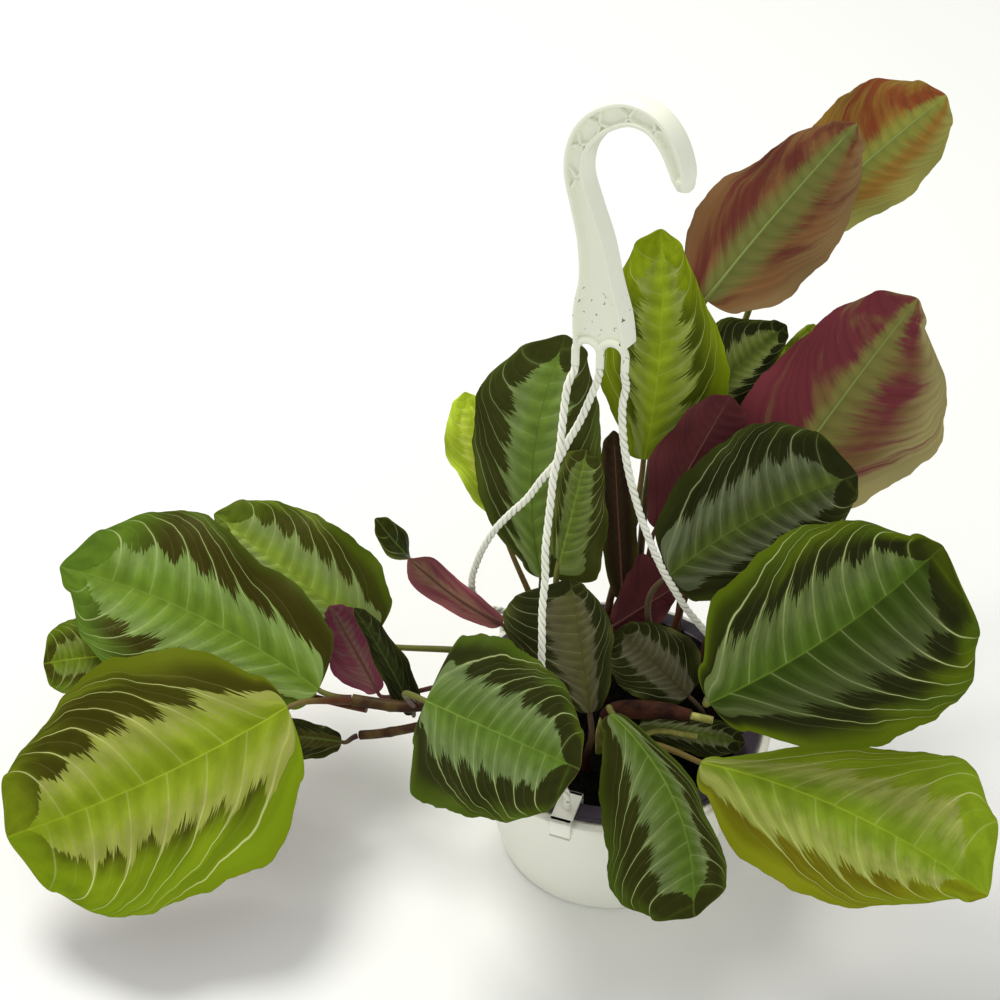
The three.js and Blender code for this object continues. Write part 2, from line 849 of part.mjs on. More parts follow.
// A place on the plate: a step along its centre line, and a share of its half width to the left
function hookPlace(step, share, inset) {
  const curve = new THREE.CatmullRomCurve3(HOOK_LINE.map(point));
  const here = curve.getPoint(step / HOOK_STEPS);
  const ahead = curve.getTangent(step / HOOK_STEPS);
  const along = new THREE.Vector2(ahead.x, ahead.y).normalize();
  if (step === 0) {
    along.set(-Math.sin(radians(FOOT_TILT)), Math.cos(radians(FOOT_TILT)));
  }
  const reach = share * (here.z / 2 - inset);
  return new THREE.Vector2(here.x - along.y * reach, here.y + along.x * reach);
}

// The plate's outline between two steps of its centre line, drawn in by an inset
function hookOutline(from, to, inset) {
  const left = [];
  const right = [];
  for (let step = from; step <= to; step += 1) {
    left.push(hookPlace(step, 1, inset));
    right.unshift(hookPlace(step, -1, inset));
  }
  return [...left, ...right];
}

// A straight rib from one place on the plate to another
function ribOutline(from, to) {
  const side = to.clone().sub(from).normalize().multiplyScalar(BRACE_WIDTH / 2);
  const [x, y] = [-side.y, side.x];
  return [
    new THREE.Vector2(from.x + x, from.y + y),
    new THREE.Vector2(from.x - x, from.y - y),
    new THREE.Vector2(to.x - x, to.y - y),
    new THREE.Vector2(to.x + x, to.y + y),
  ];
}

// A slab of the plate between two depths behind its front face, in the hook's own plane
function hookSlab(outline, near, far) {
  const depth = far - near;
  const geometry = new THREE.ExtrudeGeometry(new THREE.Shape(outline), { depth, bevelEnabled: false });
  geometry.rotateX(Math.PI / 2);
  geometry.translate(0, far, 0);
  return solidOfGeometry(geometry);
}

// From the hook's own plane to its place over the pot
function placeHook(solid) {
  const [x, y, z] = HOOK_PLACE;
  return solid.translate([0, -HOOK_THICKNESS / 2, 0]).rotate([0, 0, -HOOK_YAW]).translate([x, y, z]);
}

// A place in the plane of the foot's arches, near the plate's front, in the part's frame
function footPoint(across, height) {
  const yaw = radians(HOOK_YAW);
  const [x, y, z] = HOOK_PLACE;
  return new THREE.Vector3(
    x + across * Math.cos(yaw) - FOOT_DEPTH * Math.sin(yaw),
    y - across * Math.sin(yaw) - FOOT_DEPTH * Math.cos(yaw),
    z + height,
  );
}

// Where the three legs of the foot end
function legEnd(k) {
  const tilt = radians(FOOT_TILT);
  const [x, z] = FOOT_CENTRE;
  const reach = 2 * FOOT_ARCH * k;
  return [x + reach * Math.cos(tilt), z + reach * Math.sin(tilt) - 6];
}

function hookSolid() {
  let hook = hookSlab(hookOutline(0, HOOK_STEPS, 0), 0, HOOK_THICKNESS);
  const pocket = hookOutline(0, HOOK_STEPS - 1, FLANGE);
  pocket[0].y -= 1;
  pocket.at(-1).y -= 1;
  hook = hook.subtract(hookSlab(pocket, -1, POCKET_DEPTH));
  hook = hook.subtract(hookSlab(pocket, HOOK_THICKNESS - POCKET_DEPTH, HOOK_THICKNESS + 1));
  BRACES.forEach((step) => {
    for (const share of [-1, 1]) {
      const from = hookPlace(step - 0.7, share, FLANGE / 2);
      const to = hookPlace(step + 0.7, -share, FLANGE / 2);
      const rib = ribOutline(from, to);
      hook = hook.add(hookSlab(rib, 0.8, HOOK_THICKNESS - 0.8));
    }
  });
  hook = placeHook(hook);
  const radius = STRAND_DIAMETER / 2;
  for (const half of [-0.5, 0.5]) {
    const start = legEnd(half - 0.5);
    const finish = legEnd(half + 0.5);
    const tilt = radians(FOOT_TILT);
    const middle = [(start[0] + finish[0]) / 2, (start[1] + finish[1]) / 2 + 6];
    const upright = (end) => [footPoint(...end), footPoint(...end).addScaledVector(UP, 2)];
    const path = upright(start);
    for (let i = 0; i <= 8; i += 1) {
      const turn = Math.PI - (Math.PI * i) / 8;
      const across = FOOT_ARCH * Math.cos(turn);
      const rise = FOOT_ARCH * Math.sin(turn);
      path.push(
        footPoint(
          middle[0] + across * Math.cos(tilt) - rise * Math.sin(tilt) * 0.3,
          middle[1] + across * Math.sin(tilt) + rise * Math.cos(tilt),
        ),
      );
    }
    path.push(...upright(finish).reverse());
    hook = hook.add(limb(path, taper(radius, radius, path.length), STRAND_SIDES));
  }
  return hook;
}

// Clips reach over both lips, hook under the hanging pot's rim and carry a strand on a short post

const CLIP_WIDTH = 9;
const CLIP_WALL = 2;
const CLIP_POST = 4;
const CLIP_ANGLES = { a: -110, b: 10, c: 130 };
const CLIP_INSIDE = LIP_INSIDE - GAP - 1 - CLIP_WALL;
const CLIP_OUTSIDE = OUTER_RIM_RADIUS + GAP + CLIP_WALL;
const CLIP_MIDDLE = (CLIP_INSIDE + CLIP_OUTSIDE) / 2;
const CLIP_TOP = POT_HEIGHT + GAP + CLIP_WALL;

function clipSolid(angle) {
  const catchTop = POT_HEIGHT - LIP_THICKNESS - GAP - OUTER_RIM_THICKNESS - 0.8 - GAP;
  const outerDepth = CLIP_TOP - catchTop + CLIP_WALL;
  const innerDepth = 6;
  const slab = (from, to, depth, top) =>
    boxSolid([to - from, CLIP_WIDTH, depth], [(from + to) / 2, 0, top - depth / 2]);
  const radius = STRAND_DIAMETER / 2;
  const post = new THREE.CylinderGeometry(radius, radius + 0.6, CLIP_POST, STRAND_SIDES);
  post.rotateX(Math.PI / 2);
  post.translate(CLIP_MIDDLE, 0, CLIP_TOP + CLIP_POST / 2 - 0.5);
  return slab(CLIP_INSIDE, CLIP_OUTSIDE, CLIP_WALL, CLIP_TOP)
    .add(slab(CLIP_INSIDE, CLIP_INSIDE + CLIP_WALL, innerDepth, CLIP_TOP))
    .add(slab(CLIP_OUTSIDE - CLIP_WALL, CLIP_OUTSIDE, outerDepth, CLIP_TOP))
    .add(slab(CLIP_OUTSIDE - CLIP_WALL - 2.5, CLIP_OUTSIDE, CLIP_WALL, catchTop))
    .add(solidOfGeometry(post))
    .rotate([0, 0, angle]);
}

// Strands: routes from the hook's legs to the clips

const STRAND_ROUTES = {
  a: [
    [-22.8, 2, 254],
    [-24, 0, 246],
    [-25, -4, 237],
    [-26, -8, 228],
    [-28, -10, 218],
    [-29, -13, 208],
    [-30, -16, 198],
    [-31, -20, 188],
    [-31, -23, 175],
    [-32, -27, 162],
    [-32, -31, 149],
    [-32, -35, 135],
    [-31, -40, 121],
    [-29, -46, 107],
    [-25, -53, 96],
  ],
  b: [
    [-1.3, -7, 259],
    [-2.2, -6.5, 251],
    [-2.1, -6.5, 242],
    [-1.2, -6.8, 232],
    [0.2, -7.2, 223],
    [2, -7.5, 214],
    [4.4, -7.5, 204],
    [7.3, -7.1, 193],
    [10.6, -6.2, 182],
    [14.2, -5, 171],
    [18.2, -3.6, 160],
    [22.6, -2.2, 150],
    [28, -0.3, 138],
    [34, 1.8, 127],
    [43, 4.6, 112],
    [54, 8, 98],
  ],
  c: [
    [-12.1, -1, 256.6],
    [-15, 1, 245],
    [-18, 2, 235],
    [-22, 4, 224],
    [-26, 6, 212],
    [-32, 10, 199],
    [-38, 14, 185],
    [-45, 18, 173],
    [-51, 22, 161],
    [-56, 25, 148],
    [-59, 28, 136],
    [-61, 31, 124],
    [-60, 34, 111],
    [-55, 39, 100],
    [-47, 44, 93],
  ],
};
const STRAND_LEGS = { a: -1, b: 1, c: 0 };
const STRAND_STEPS = 25;

// The route's ends stand upright, the usual gap off the leg above and the clip's post below
function strandCurve(key) {
  const leg = footPoint(...legEnd(STRAND_LEGS[key])).addScaledVector(UP, -GAP);
  const turn = radians(CLIP_ANGLES[key]);
  const top = CLIP_TOP + CLIP_POST - 0.5 + GAP;
  const end = new THREE.Vector3(CLIP_MIDDLE * Math.cos(turn), CLIP_MIDDLE * Math.sin(turn), top);
  const below = leg.clone().addScaledVector(UP, -2);
  const above = end.clone().addScaledVector(UP, 2);
  return new THREE.CatmullRomCurve3([leg, below, ...STRAND_ROUTES[key].map(point), above, end]);
}

function strandSolid(key) {
  const section = new THREE.Shape();
  for (let i = 0; i < STRAND_SIDES; i += 1) {
    const turn = (2 * Math.PI * i) / STRAND_SIDES;
    const x = (STRAND_DIAMETER / 2) * Math.cos(turn);
    const y = (STRAND_DIAMETER / 2) * Math.sin(turn);
    if (i === 0) {
      section.moveTo(x, y);
    } else {
      section.lineTo(x, y);
    }
  }
  const geometry = new THREE.ExtrudeGeometry(section, {
    steps: STRAND_STEPS,
    extrudePath: strandCurve(key),
    curveSegments: 1,
  });
  return solidOfGeometry(geometry);
}

// The whole plant

function leafMesh(entry) {
  const leaf = { ...PLAIN_BLADE, ...entry };
  const frame = bladeFrame(leaf);
  return meshOf(leaf.name, bladeSolid(leaf, frame).add(stalkSolid(leaf, frame)), COLOURS[leaf.look]);
}

function allRoots() {
  const stalks = LEAVES.filter((leaf) => leaf.stalk.inSoil).map(({ stalk }) => ({
    x: stalk.from[0],
    y: stalk.from[1],
    radius: stalk.radius,
    depth: ROOT_DEPTH,
  }));
  const stems = [...STEMS, ...CUT_STEMS].map(({ path, radii, radius }) => ({
    x: path[0][0],
    y: path[0][1],
    radius: radius ?? radii[0],
    depth: ROOT_DEPTH,
  }));
  return [...stalks, ...stems];
}

const group = new THREE.Group();
group.add(meshOf("hanging_pot", hangingPotSolid(), COLOURS.hanger));
group.add(meshOf("nursery_pot", nurseryPotSolid(), COLOURS.pot));
group.add(meshOf("soil", soilSolid(allRoots()), COLOURS.soil));
LEAVES.forEach((leaf) => group.add(leafMesh(leaf)));
STEMS.forEach((stem) => group.add(meshOf(stem.name, stemSolid(stem), COLOURS.stem)));
CUT_STEMS.forEach((stem) => group.add(meshOf(stem.name, cutStemSolid(stem), COLOURS.cut)));
group.add(meshOf("sheath", sheathSolid(), COLOURS.sheath));
group.add(meshOf("hanger_hook", hookSolid(), COLOURS.hanger));
Object.entries(CLIP_ANGLES).forEach(([key, angle]) => {
  group.add(meshOf(`clip_${key}`, clipSolid(angle), COLOURS.hanger));
  group.add(meshOf(`strand_${key}`, strandSolid(key), COLOURS.hanger));
});

export default group;
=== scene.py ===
import math
import random

import bmesh
import bpy
import numpy as np
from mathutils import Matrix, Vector


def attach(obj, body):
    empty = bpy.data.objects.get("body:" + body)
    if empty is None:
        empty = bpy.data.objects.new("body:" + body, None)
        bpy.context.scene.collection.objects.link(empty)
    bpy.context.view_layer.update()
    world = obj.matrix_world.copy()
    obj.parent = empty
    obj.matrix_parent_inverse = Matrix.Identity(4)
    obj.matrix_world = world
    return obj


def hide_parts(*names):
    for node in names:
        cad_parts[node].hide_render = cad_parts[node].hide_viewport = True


# Potted prayer plant in a hanging pot: the looks. Sizes are typed in millimetres and built in metres.

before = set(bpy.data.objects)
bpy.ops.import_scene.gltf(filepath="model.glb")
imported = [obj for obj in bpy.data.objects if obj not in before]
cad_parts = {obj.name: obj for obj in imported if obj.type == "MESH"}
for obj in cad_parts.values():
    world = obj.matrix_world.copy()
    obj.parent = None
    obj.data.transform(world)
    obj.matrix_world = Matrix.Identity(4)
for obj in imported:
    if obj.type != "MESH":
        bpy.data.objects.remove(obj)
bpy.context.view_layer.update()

MM = 0.001

# Camera, set where the photograph was taken from

CAMERA_PLACE = (-48.9, -664.3, 774.0)
CAMERA_DOWN = 41
CAMERA_LENS = 79.56


def make_camera():
    data = bpy.data.cameras.new("camera")
    data.lens = CAMERA_LENS
    data.sensor_width = 36
    data.clip_start = 0.01
    data.clip_end = 50
    camera = bpy.data.objects.new("camera", data)
    camera.location = Vector(CAMERA_PLACE) * MM
    camera.rotation_euler = (math.radians(90 - CAMERA_DOWN), 0, 0)
    bpy.context.scene.collection.objects.link(camera)
    bpy.context.scene.camera = camera


make_camera()

# Materials: shader nodes, wired by arithmetic on what they give out


def linear(colour):
    """A colour from 0 to 255 as the screen shows it, turned into the light it stands for."""
    parts = [c / 255 for c in colour]
    return tuple(c / 12.92 if c <= 0.04045 else ((c + 0.055) / 1.055) ** 2.4 for c in parts) + (1.0,)


class Value:
    """What a node gives out. Arithmetic with it adds math nodes to the same tree."""

    def __init__(self, wires, socket):
        self.wires = wires
        self.socket = socket

    def __add__(self, other):
        return self.wires.math("ADD", self, other)

    def __sub__(self, other):
        return self.wires.math("SUBTRACT", self, other)

    def __rsub__(self, other):
        return self.wires.math("SUBTRACT", other, self)

    def __mul__(self, other):
        return self.wires.math("MULTIPLY", self, other)

    def __truediv__(self, other):
        return self.wires.math("DIVIDE", self, other)

    def __pow__(self, other):
        return self.wires.math("POWER", self, other)

    def __abs__(self):
        return self.wires.math("ABSOLUTE", self)

    __radd__ = __add__
    __rmul__ = __mul__


class Wires:
    """Adds nodes to a tree. Each takes Values, numbers or colours, and gives a Value."""

    def __init__(self, tree):
        self.tree = tree

    def node(self, kind, **settings):
        node = self.tree.nodes.new(kind)
        for key, value in settings.items():
            setattr(node, key, value)
        return node

    def put(self, socket, value):
        if isinstance(value, Value):
            self.tree.links.new(value.socket, socket)
        else:
            socket.default_value = value

    def fill(self, node, *values):
        """Puts values into a node's inputs, in order."""
        for socket, value in zip(node.inputs, values):
            self.put(socket, value)
        return Value(self, node.outputs[0])

    def math(self, operation, *values):
        return self.fill(self.node("ShaderNodeMath", operation=operation), *values)

    def ramp(self, value, low, high, start=0.0, end=1.0):
        """A soft step: start below low, end above high."""
        node = self.node("ShaderNodeMapRange", interpolation_type="SMOOTHSTEP")
        return self.fill(node, value, low, high, start, end)

    def mix(self, share, a, b):
        """Colour a where share is 0 or less, b where it is 1 or more."""
        node = self.node("ShaderNodeMix", data_type="RGBA", clamp_factor=True)
        for index, value in ((0, share), (6, a), (7, b)):
            self.put(node.inputs[index], value)
        return Value(self, node.outputs[2])

    def noise(self, place, scale, detail=2.0, rough=0.5, dimensions="3D"):
        node = self.node("ShaderNodeTexNoise", noise_dimensions=dimensions)
        self.put(node.inputs["W" if dimensions == "1D" else "Vector"], place)
        for name, value in (("Scale", scale), ("Detail", detail), ("Roughness", rough)):
            node.inputs[name].default_value = value
        return Value(self, node.outputs[0])

    def join(self, x, y, z=0.0):
        return self.fill(self.node("ShaderNodeCombineXYZ"), x, y, z)

    def attribute(self, name):
        """The number that a mesh has at each point under this name."""
        return Value(self, self.node("ShaderNodeAttribute", attribute_name=name).outputs["Fac"])

    def place(self):
        """The place in the object's own frame, in metres."""
        return Value(self, self.node("ShaderNodeTexCoord").outputs["Object"])

    def height(self, place):
        node = self.node("ShaderNodeSeparateXYZ")
        self.put(node.inputs[0], place)
        return Value(self, node.outputs[2])

    def brighten(self, colour, share):
        node = self.node("ShaderNodeVectorMath", operation="SCALE")
        self.put(node.inputs["Scale"], share)
        return self.fill(node, colour)

    def tent(self, value):
        """1 where value is whole, falling straight to 0 halfway between."""
        return abs(self.math("FRACT", value) * 2.0 - 1.0)

    def bump(self, height, depth):
        """The surface's direction, tilted by the height as if that were depth millimetres."""
        node = self.node("ShaderNodeBump")
        node.inputs["Strength"].default_value = 1.0
        node.inputs["Distance"].default_value = depth * MM
        self.put(node.inputs["Height"], height)
        return Value(self, node.outputs[0])


def new_material(name, roughness, gloss=0.5):
    """The material, its wires and its shader's inputs."""
    material = bpy.data.materials.new(name)
    material.use_nodes = True
    shader = material.node_tree.nodes["Principled BSDF"].inputs
    shader["Roughness"].default_value = roughness
    shader["Specular IOR Level"].default_value = gloss
    return material, Wires(material.node_tree), shader


def plain_material(name, colour, roughness, grain=0.0, grain_scale=300.0, mottle=None, gloss=0.5):
    """One colour, with a fine grain, and a second colour in soft patches where mottle is given."""
    material, wires, shader = new_material(name, roughness, gloss)
    paint = linear(colour)
    if mottle:
        share = wires.ramp(wires.noise(wires.place(), grain_scale, 4.0), 0.4, 0.65)
        paint = wires.mix(share, paint, linear(mottle))
    wires.put(shader["Base Color"], paint)
    if grain:
        wires.put(shader["Normal"], wires.bump(wires.noise(wires.place(), grain_scale * 2, 3.0), grain))
    return material


# Leaf patterns, shared by all blades. Side veins leave the midrib leaning forwards and bend towards
# the tip near the margin: LEAN pairs powers of the reach across the blade with their shares.

LEAN = ((1, 0.2), (2, 0.2), (4, 0.27))
VEIN_SHIFT = 0.22
BASE_CROWDING = 0.12


def new_group(name, colours, numbers):
    """The wires of a pattern and its inputs by name. The pattern gives out a colour and a height."""
    tree = bpy.data.node_groups.new(name, "ShaderNodeTree")
    for colour in colours:
        tree.interface.new_socket(colour, in_out="INPUT", socket_type="NodeSocketColor")
    for number in numbers:
        tree.interface.new_socket(number, in_out="INPUT", socket_type="NodeSocketFloat")
    tree.interface.new_socket("Color", in_out="OUTPUT", socket_type="NodeSocketColor")
    tree.interface.new_socket("Height", in_out="OUTPUT", socket_type="NodeSocketFloat")
    wires = Wires(tree)
    given = {socket.name: Value(wires, socket) for socket in wires.node("NodeGroupInput").outputs}
    return wires, given


def close_group(wires, colour, height):
    out = wires.node("NodeGroupOutput")
    wires.put(out.inputs["Color"], colour)
    wires.put(out.inputs["Height"], height)
    return wires.tree


class Spot:
    """Where a point is on the blade, and where among its side veins."""

    def __init__(self, wires, veins):
        # Along the midrib 0 to 1, across the blade -1 to 1, and from the midrib in millimetres
        self.along = wires.attribute("leaf_u")
        self.across = wires.attribute("leaf_v")
        self.reach = abs(self.across)
        self.from_rib = abs(wires.attribute("leaf_across"))
        self.side = wires.math("SIGN", self.across)
        self.seed = wires.attribute("leaf_seed") * 7.31 + self.side * 3.7

        # Where the vein through this point leaves the midrib, and its number, whole on a vein
        lean = sum(self.reach**power * share for power, share in LEAN)
        root = (self.along - lean) / (1.0 - lean)
        bent = wires.math("SQRT", root * root + BASE_CROWDING**2)
        self.root = (root + bent) * 0.5
        self.step = self.root * veins + self.side * VEIN_SHIFT
        self.streak = self.root * 60.0 + self.seed


UPPER_COLOURS = ("Pale", "Grey", "Glow", "Dark", "Margin", "Left margin", "Vein", "Rib")
UPPER_NUMBERS = (
    "Veins", "Reach", "Teeth", "Fade start", "Fade end", "Tilt", "Line", "Blotch", "Ridge shade", "Half",
    "Tip fade",
)


def upper_pattern():
    """A feathered pale middle, dark patches between pale side veins, and a lighter margin."""
    wires, given = new_group("upper side", UPPER_COLOURS, UPPER_NUMBERS)
    at = Spot(wires, given["Veins"])
    by_vein = wires.tent(at.step)
    by_half = wires.tent(at.step * 2.0)

    # The pale middle's edge: a flame along each vein, with fine teeth
    wander = wires.noise(at.root * 9.0 + at.seed, 1.0, 2.0, dimensions="1D")
    teeth = wires.tent(at.step * 3.5 + wander * 5.0)
    fine = wires.noise(at.streak, 2.2, 1.0, dimensions="1D")
    base_wide = wires.ramp(at.along, 0.0, 0.25, 1.25, 1.0)
    tip_narrow = wires.ramp(at.root, 0.8, 0.98, 1.0, 0.0)
    flame = by_vein**1.6 * (wander * 2.6 - 0.1)
    ragged = (flame + teeth * 0.7 + (fine - 0.5) * 1.8 - 1.0) * given["Teeth"]
    edge = (given["Reach"] * base_wide + ragged) * tip_narrow
    beyond = at.reach - edge + 0.02
    pale = wires.ramp(beyond, -0.014, 0.014, 1.0, 0.0)

    # Dark patches start at that edge and fade into the margin, sooner on one side
    broad = wires.join(at.root * 5.0, at.across * 1.4, at.seed)
    drift = (wires.noise(broad, 1.3, 3.0) - 0.5) * given["Blotch"] + at.side * given["Tilt"]
    dark = wires.ramp(at.reach + drift, given["Fade start"], given["Fade end"], 1.0, 0.0)
    dark = dark * (1.0 - by_vein**9.0 * 0.5)
    dark = dark * wires.ramp(at.along, given["Tip fade"] - 0.2, given["Tip fade"], 1.0, 0.0)
    sunny = wires.ramp(wires.noise(broad, 0.8, 1.0), 0.42, 0.62, 0.0, 0.45)
    on_left = wires.ramp(at.across, -0.01, 0.01, 1.0, 0.0)
    margin = wires.mix(sunny, wires.mix(on_left, given["Margin"], given["Left margin"]), given["Glow"])
    outer = wires.mix(dark, margin, given["Dark"])

    # The middle: greyer away from the midrib, in stripes, glowing along the midrib, and darkened in bands
    # between the vein lines as painted shade of its quilted relief
    threads = wires.join(at.streak, at.across * 3.0, at.seed)
    thin = wires.ramp(wires.noise(threads, 1.6, 2.0), 0.35, 0.65)
    greyness = wires.ramp(at.reach, 0.1, 0.45) * 0.8 + (thin - 0.5) * 0.5 + (by_half - 0.5) * 0.3
    inner = wires.mix(greyness, given["Pale"], given["Grey"])
    inner = wires.mix(wires.ramp(at.reach, 0.02, 0.26, 0.8, 0.0), inner, given["Glow"])
    # Painted shade: darker bands where the blade swells between its vein lines
    inner = wires.brighten(inner, 1.0 - (1.0 - by_half) * given["Ridge shade"])
    # Painted light and shade: one half of the blade lighter and the other darker, as light falls on a
    # blade folded along its midrib
    inner = wires.brighten(inner, at.side * given["Half"] + 1.0)
    colour = wires.mix(pale, outer, inner)

    # Vein lines, fainter inside the pale middle, and the midrib
    outside = wires.ramp(beyond, -0.2, 0.06, 0.24, 1.0)
    ends = wires.ramp(at.reach, 0.9, 1.0, 1.0, 0.3) * wires.ramp(at.root, 0.8, 0.94, 1.0, 0.0)
    strong = wires.ramp(by_vein, 0.93, 0.985)
    weak = wires.ramp(by_half, 0.9, 0.98) * 0.08
    line = wires.math("MAXIMUM", strong, weak) * outside * (ends * given["Line"])
    colour = wires.mix(line, colour, given["Vein"])
    rib = wires.ramp(at.from_rib, 0.1, 0.6, 0.75, 0.0) * wires.ramp(at.along, 0.2, 1.0, 1.0, 0.35)
    colour = wires.mix(rib, colour, given["Rib"])
    colour = wires.brighten(colour, wires.ramp(wires.noise(broad, 2.5, 3.0), 0.3, 0.7, 0.86, 1.14))

    # The relief: fine fibres, and a groove along each vein
    fibre = wires.noise(wires.join(at.streak, at.across * 2.0, at.seed), 3.0, 2.0)
    return close_group(wires, colour, fibre * 0.5 + by_half**6.0 * -0.6)


UNDER_COLOURS = ("Green", "Brown", "Maroon", "Margin", "Rib")
UNDER_NUMBERS = ("Veins", "Green reach", "Maroon amount", "Tilt")


def under_pattern():
    """Green by the midrib, streaked and blotched with brown and maroon along the side veins."""
    wires, given = new_group("underside", UNDER_COLOURS, UNDER_NUMBERS)
    at = Spot(wires, given["Veins"])
    by_half = wires.tent(at.step * 2.0)
    thin = wires.noise(wires.join(at.streak, at.across * 2.5, at.seed), 1.2, 3.0) - 0.5
    patch = wires.noise(wires.join(at.root * 5.0, at.across * 1.2, at.seed), 1.2, 3.0) - 0.5
    tilt = at.across * given["Tilt"]

    outer = wires.ramp(at.reach + patch - tilt * 0.4, 0.5, 1.0)
    colour = wires.mix(outer, given["Brown"], given["Margin"])
    blush = patch * 3.6 + thin * 0.6 + tilt + given["Maroon amount"] - abs(at.reach - 0.45) * 0.9
    colour = wires.mix(wires.ramp(blush, -0.4, 0.5), colour, given["Maroon"])
    green = at.reach + thin * 0.36 + tilt * 0.35
    green = wires.ramp(green, given["Green reach"] * 0.3, given["Green reach"], 0.9, 0.0)
    colour = wires.mix(green, colour, given["Green"])
    # Painted shade: darker along each vein line and halfway between, where the ribbed relief shades,
    # slightly lighter on the swells
    colour = wires.brighten(colour, wires.ramp(by_half, 0.3, 1.0, 1.04, 0.9))
    rib = wires.ramp(at.from_rib, 0.3, 1.0, 0.8, 0.0) * wires.ramp(at.along, 0.1, 1.0, 1.0, 0.3)
    colour = wires.mix(rib, colour, given["Rib"])
    return close_group(wires, colour, thin * 0.5 + by_half * 0.5)


PATTERNS = {"upper": upper_pattern(), "under": under_pattern()}
NO_TIP_FADE = 1.4

# Besides colours, each look sets how strongly painted shade darkens the bands between the side veins
UPPER_LOOKS = {
    "bright": {
        "Pale": (140, 158, 40), "Grey": (160, 164, 78), "Glow": (136, 158, 22), "Dark": (60, 62, 10),
        "Margin": (110, 128, 14), "Vein": (200, 204, 136), "Rib": (160, 176, 50), "Reach": 0.52,
        "Teeth": 0.12, "Fade start": 0.5, "Fade end": 0.95, "Line": 0.8, "Blotch": 0.5, "Ridge shade": 0.16,
    },
    "green": {
        "Pale": (104, 128, 48), "Grey": (128, 144, 86), "Glow": (98, 126, 34), "Dark": (42, 44, 12),
        "Margin": (72, 90, 16), "Vein": (184, 192, 134), "Rib": (116, 140, 56), "Reach": 0.52,
        "Teeth": 0.12, "Fade start": 0.72, "Fade end": 1.05, "Line": 0.75, "Blotch": 0.4, "Ridge shade": 0.2,
    },
    "dark": {
        "Pale": (82, 94, 44), "Grey": (108, 114, 82), "Glow": (74, 90, 32), "Dark": (29, 31, 12),
        "Margin": (50, 58, 16), "Vein": (156, 164, 124), "Rib": (84, 96, 46), "Reach": 0.5,
        "Teeth": 0.13, "Fade start": 0.75, "Fade end": 1.15, "Line": 0.6, "Blotch": 0.35, "Ridge shade": 0.22,
    },
}

UNDER_LOOKS = {
    "maroon": {
        "Green": (110, 128, 62), "Brown": (124, 88, 56), "Maroon": (106, 42, 44),
        "Margin": (134, 106, 66), "Rib": (134, 150, 84), "Green reach": 0.42, "Maroon amount": 0.05,
    },
    "purple": {
        "Green": (76, 32, 40), "Brown": (80, 30, 40), "Maroon": (74, 28, 40),
        "Margin": (86, 40, 44), "Rib": (98, 52, 50), "Green reach": 0.3, "Maroon amount": 0.3,
    },
    # Partly the underside's own orange brown, partly painted light shining through the leaf
    "orange": {
        "Green": (142, 148, 68), "Brown": (152, 110, 52), "Maroon": (146, 72, 42),
        "Margin": (152, 148, 78), "Rib": (160, 166, 84), "Green reach": 0.36, "Maroon amount": -0.08,
    },
}

LEAF_ROUGHNESS = {"upper": 0.36, "under": 0.6}
LEAF_GLOSS = 0.16
LEAF_SHEEN = (0.8, 0.9, 0.25, 1.0)
LEAF_GRAIN = 0.12


def leaf_material(name, side, look):
    material, wires, shader = new_material(name, LEAF_ROUGHNESS[side], LEAF_GLOSS)
    group = wires.node("ShaderNodeGroup", node_tree=PATTERNS[side])
    for key, value in look.items():
        group.inputs[key].default_value = linear(value) if isinstance(value, tuple) else value
    wires.put(shader["Base Color"], Value(wires, group.outputs["Color"]))
    wires.put(shader["Normal"], wires.bump(Value(wires, group.outputs["Height"]), LEAF_GRAIN))
    shader["Specular Tint"].default_value = LEAF_SHEEN
    return material


def stalk_material(name, foot, top, rib):
    """Colour that runs from the foot of the stalk to the blade, and on along the midrib."""
    material, wires, shader = new_material(name, 0.45, 0.15)
    along = wires.attribute("stalk")
    spots = (wires.noise(wires.place(), 260.0, 3.0) - 0.5) * 0.7
    stalk = wires.mix(wires.ramp(along, 0.1, 0.7) + spots, linear(foot), linear(top))
    wires.put(shader["Base Color"], wires.mix(wires.ramp(along, 0.85, 1.0), stalk, linear(rib)))
    return material


# Meshes


def make_object(name, points, faces, materials, smooth_angle=40):
    mesh = bpy.data.meshes.new(name)
    mesh.from_pydata([tuple(p) for p in points], [], faces)
    mesh.update()
    for material in materials:
        mesh.materials.append(material)
    mesh.polygons.foreach_set("use_smooth", [True] * len(mesh.polygons))
    if smooth_angle < 180:
        mesh.set_sharp_from_angle(angle=math.radians(smooth_angle))
    piece = bpy.data.objects.new(name, mesh)
    bpy.context.scene.collection.objects.link(piece)
    return piece


def add_values(piece, name, values):
    """A number at each point of the mesh, for its material to read."""
    piece.data.attributes.new(name, "FLOAT", "POINT").data.foreach_set("value", values)


def stand_for(piece, slot, *nodes):
    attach(piece, "root")
    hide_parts(*nodes)


def unit(v):
    return v / np.linalg.norm(v)


def walked_along(path):
    """The distance walked along a path at each of its points."""
    return np.r_[0, np.cumsum(np.linalg.norm(np.diff(path, axis=0), axis=1))]


def circle(steps):
    """Even angles once round."""
    return np.arange(steps) * 2 * math.pi / steps


def bezier(a, b, c, d, steps):
    t = np.linspace(0, 1, steps + 1)[:, None]
    return (1 - t) ** 3 * a + 3 * (1 - t) ** 2 * t * b + 3 * (1 - t) * t * t * c + t**3 * d


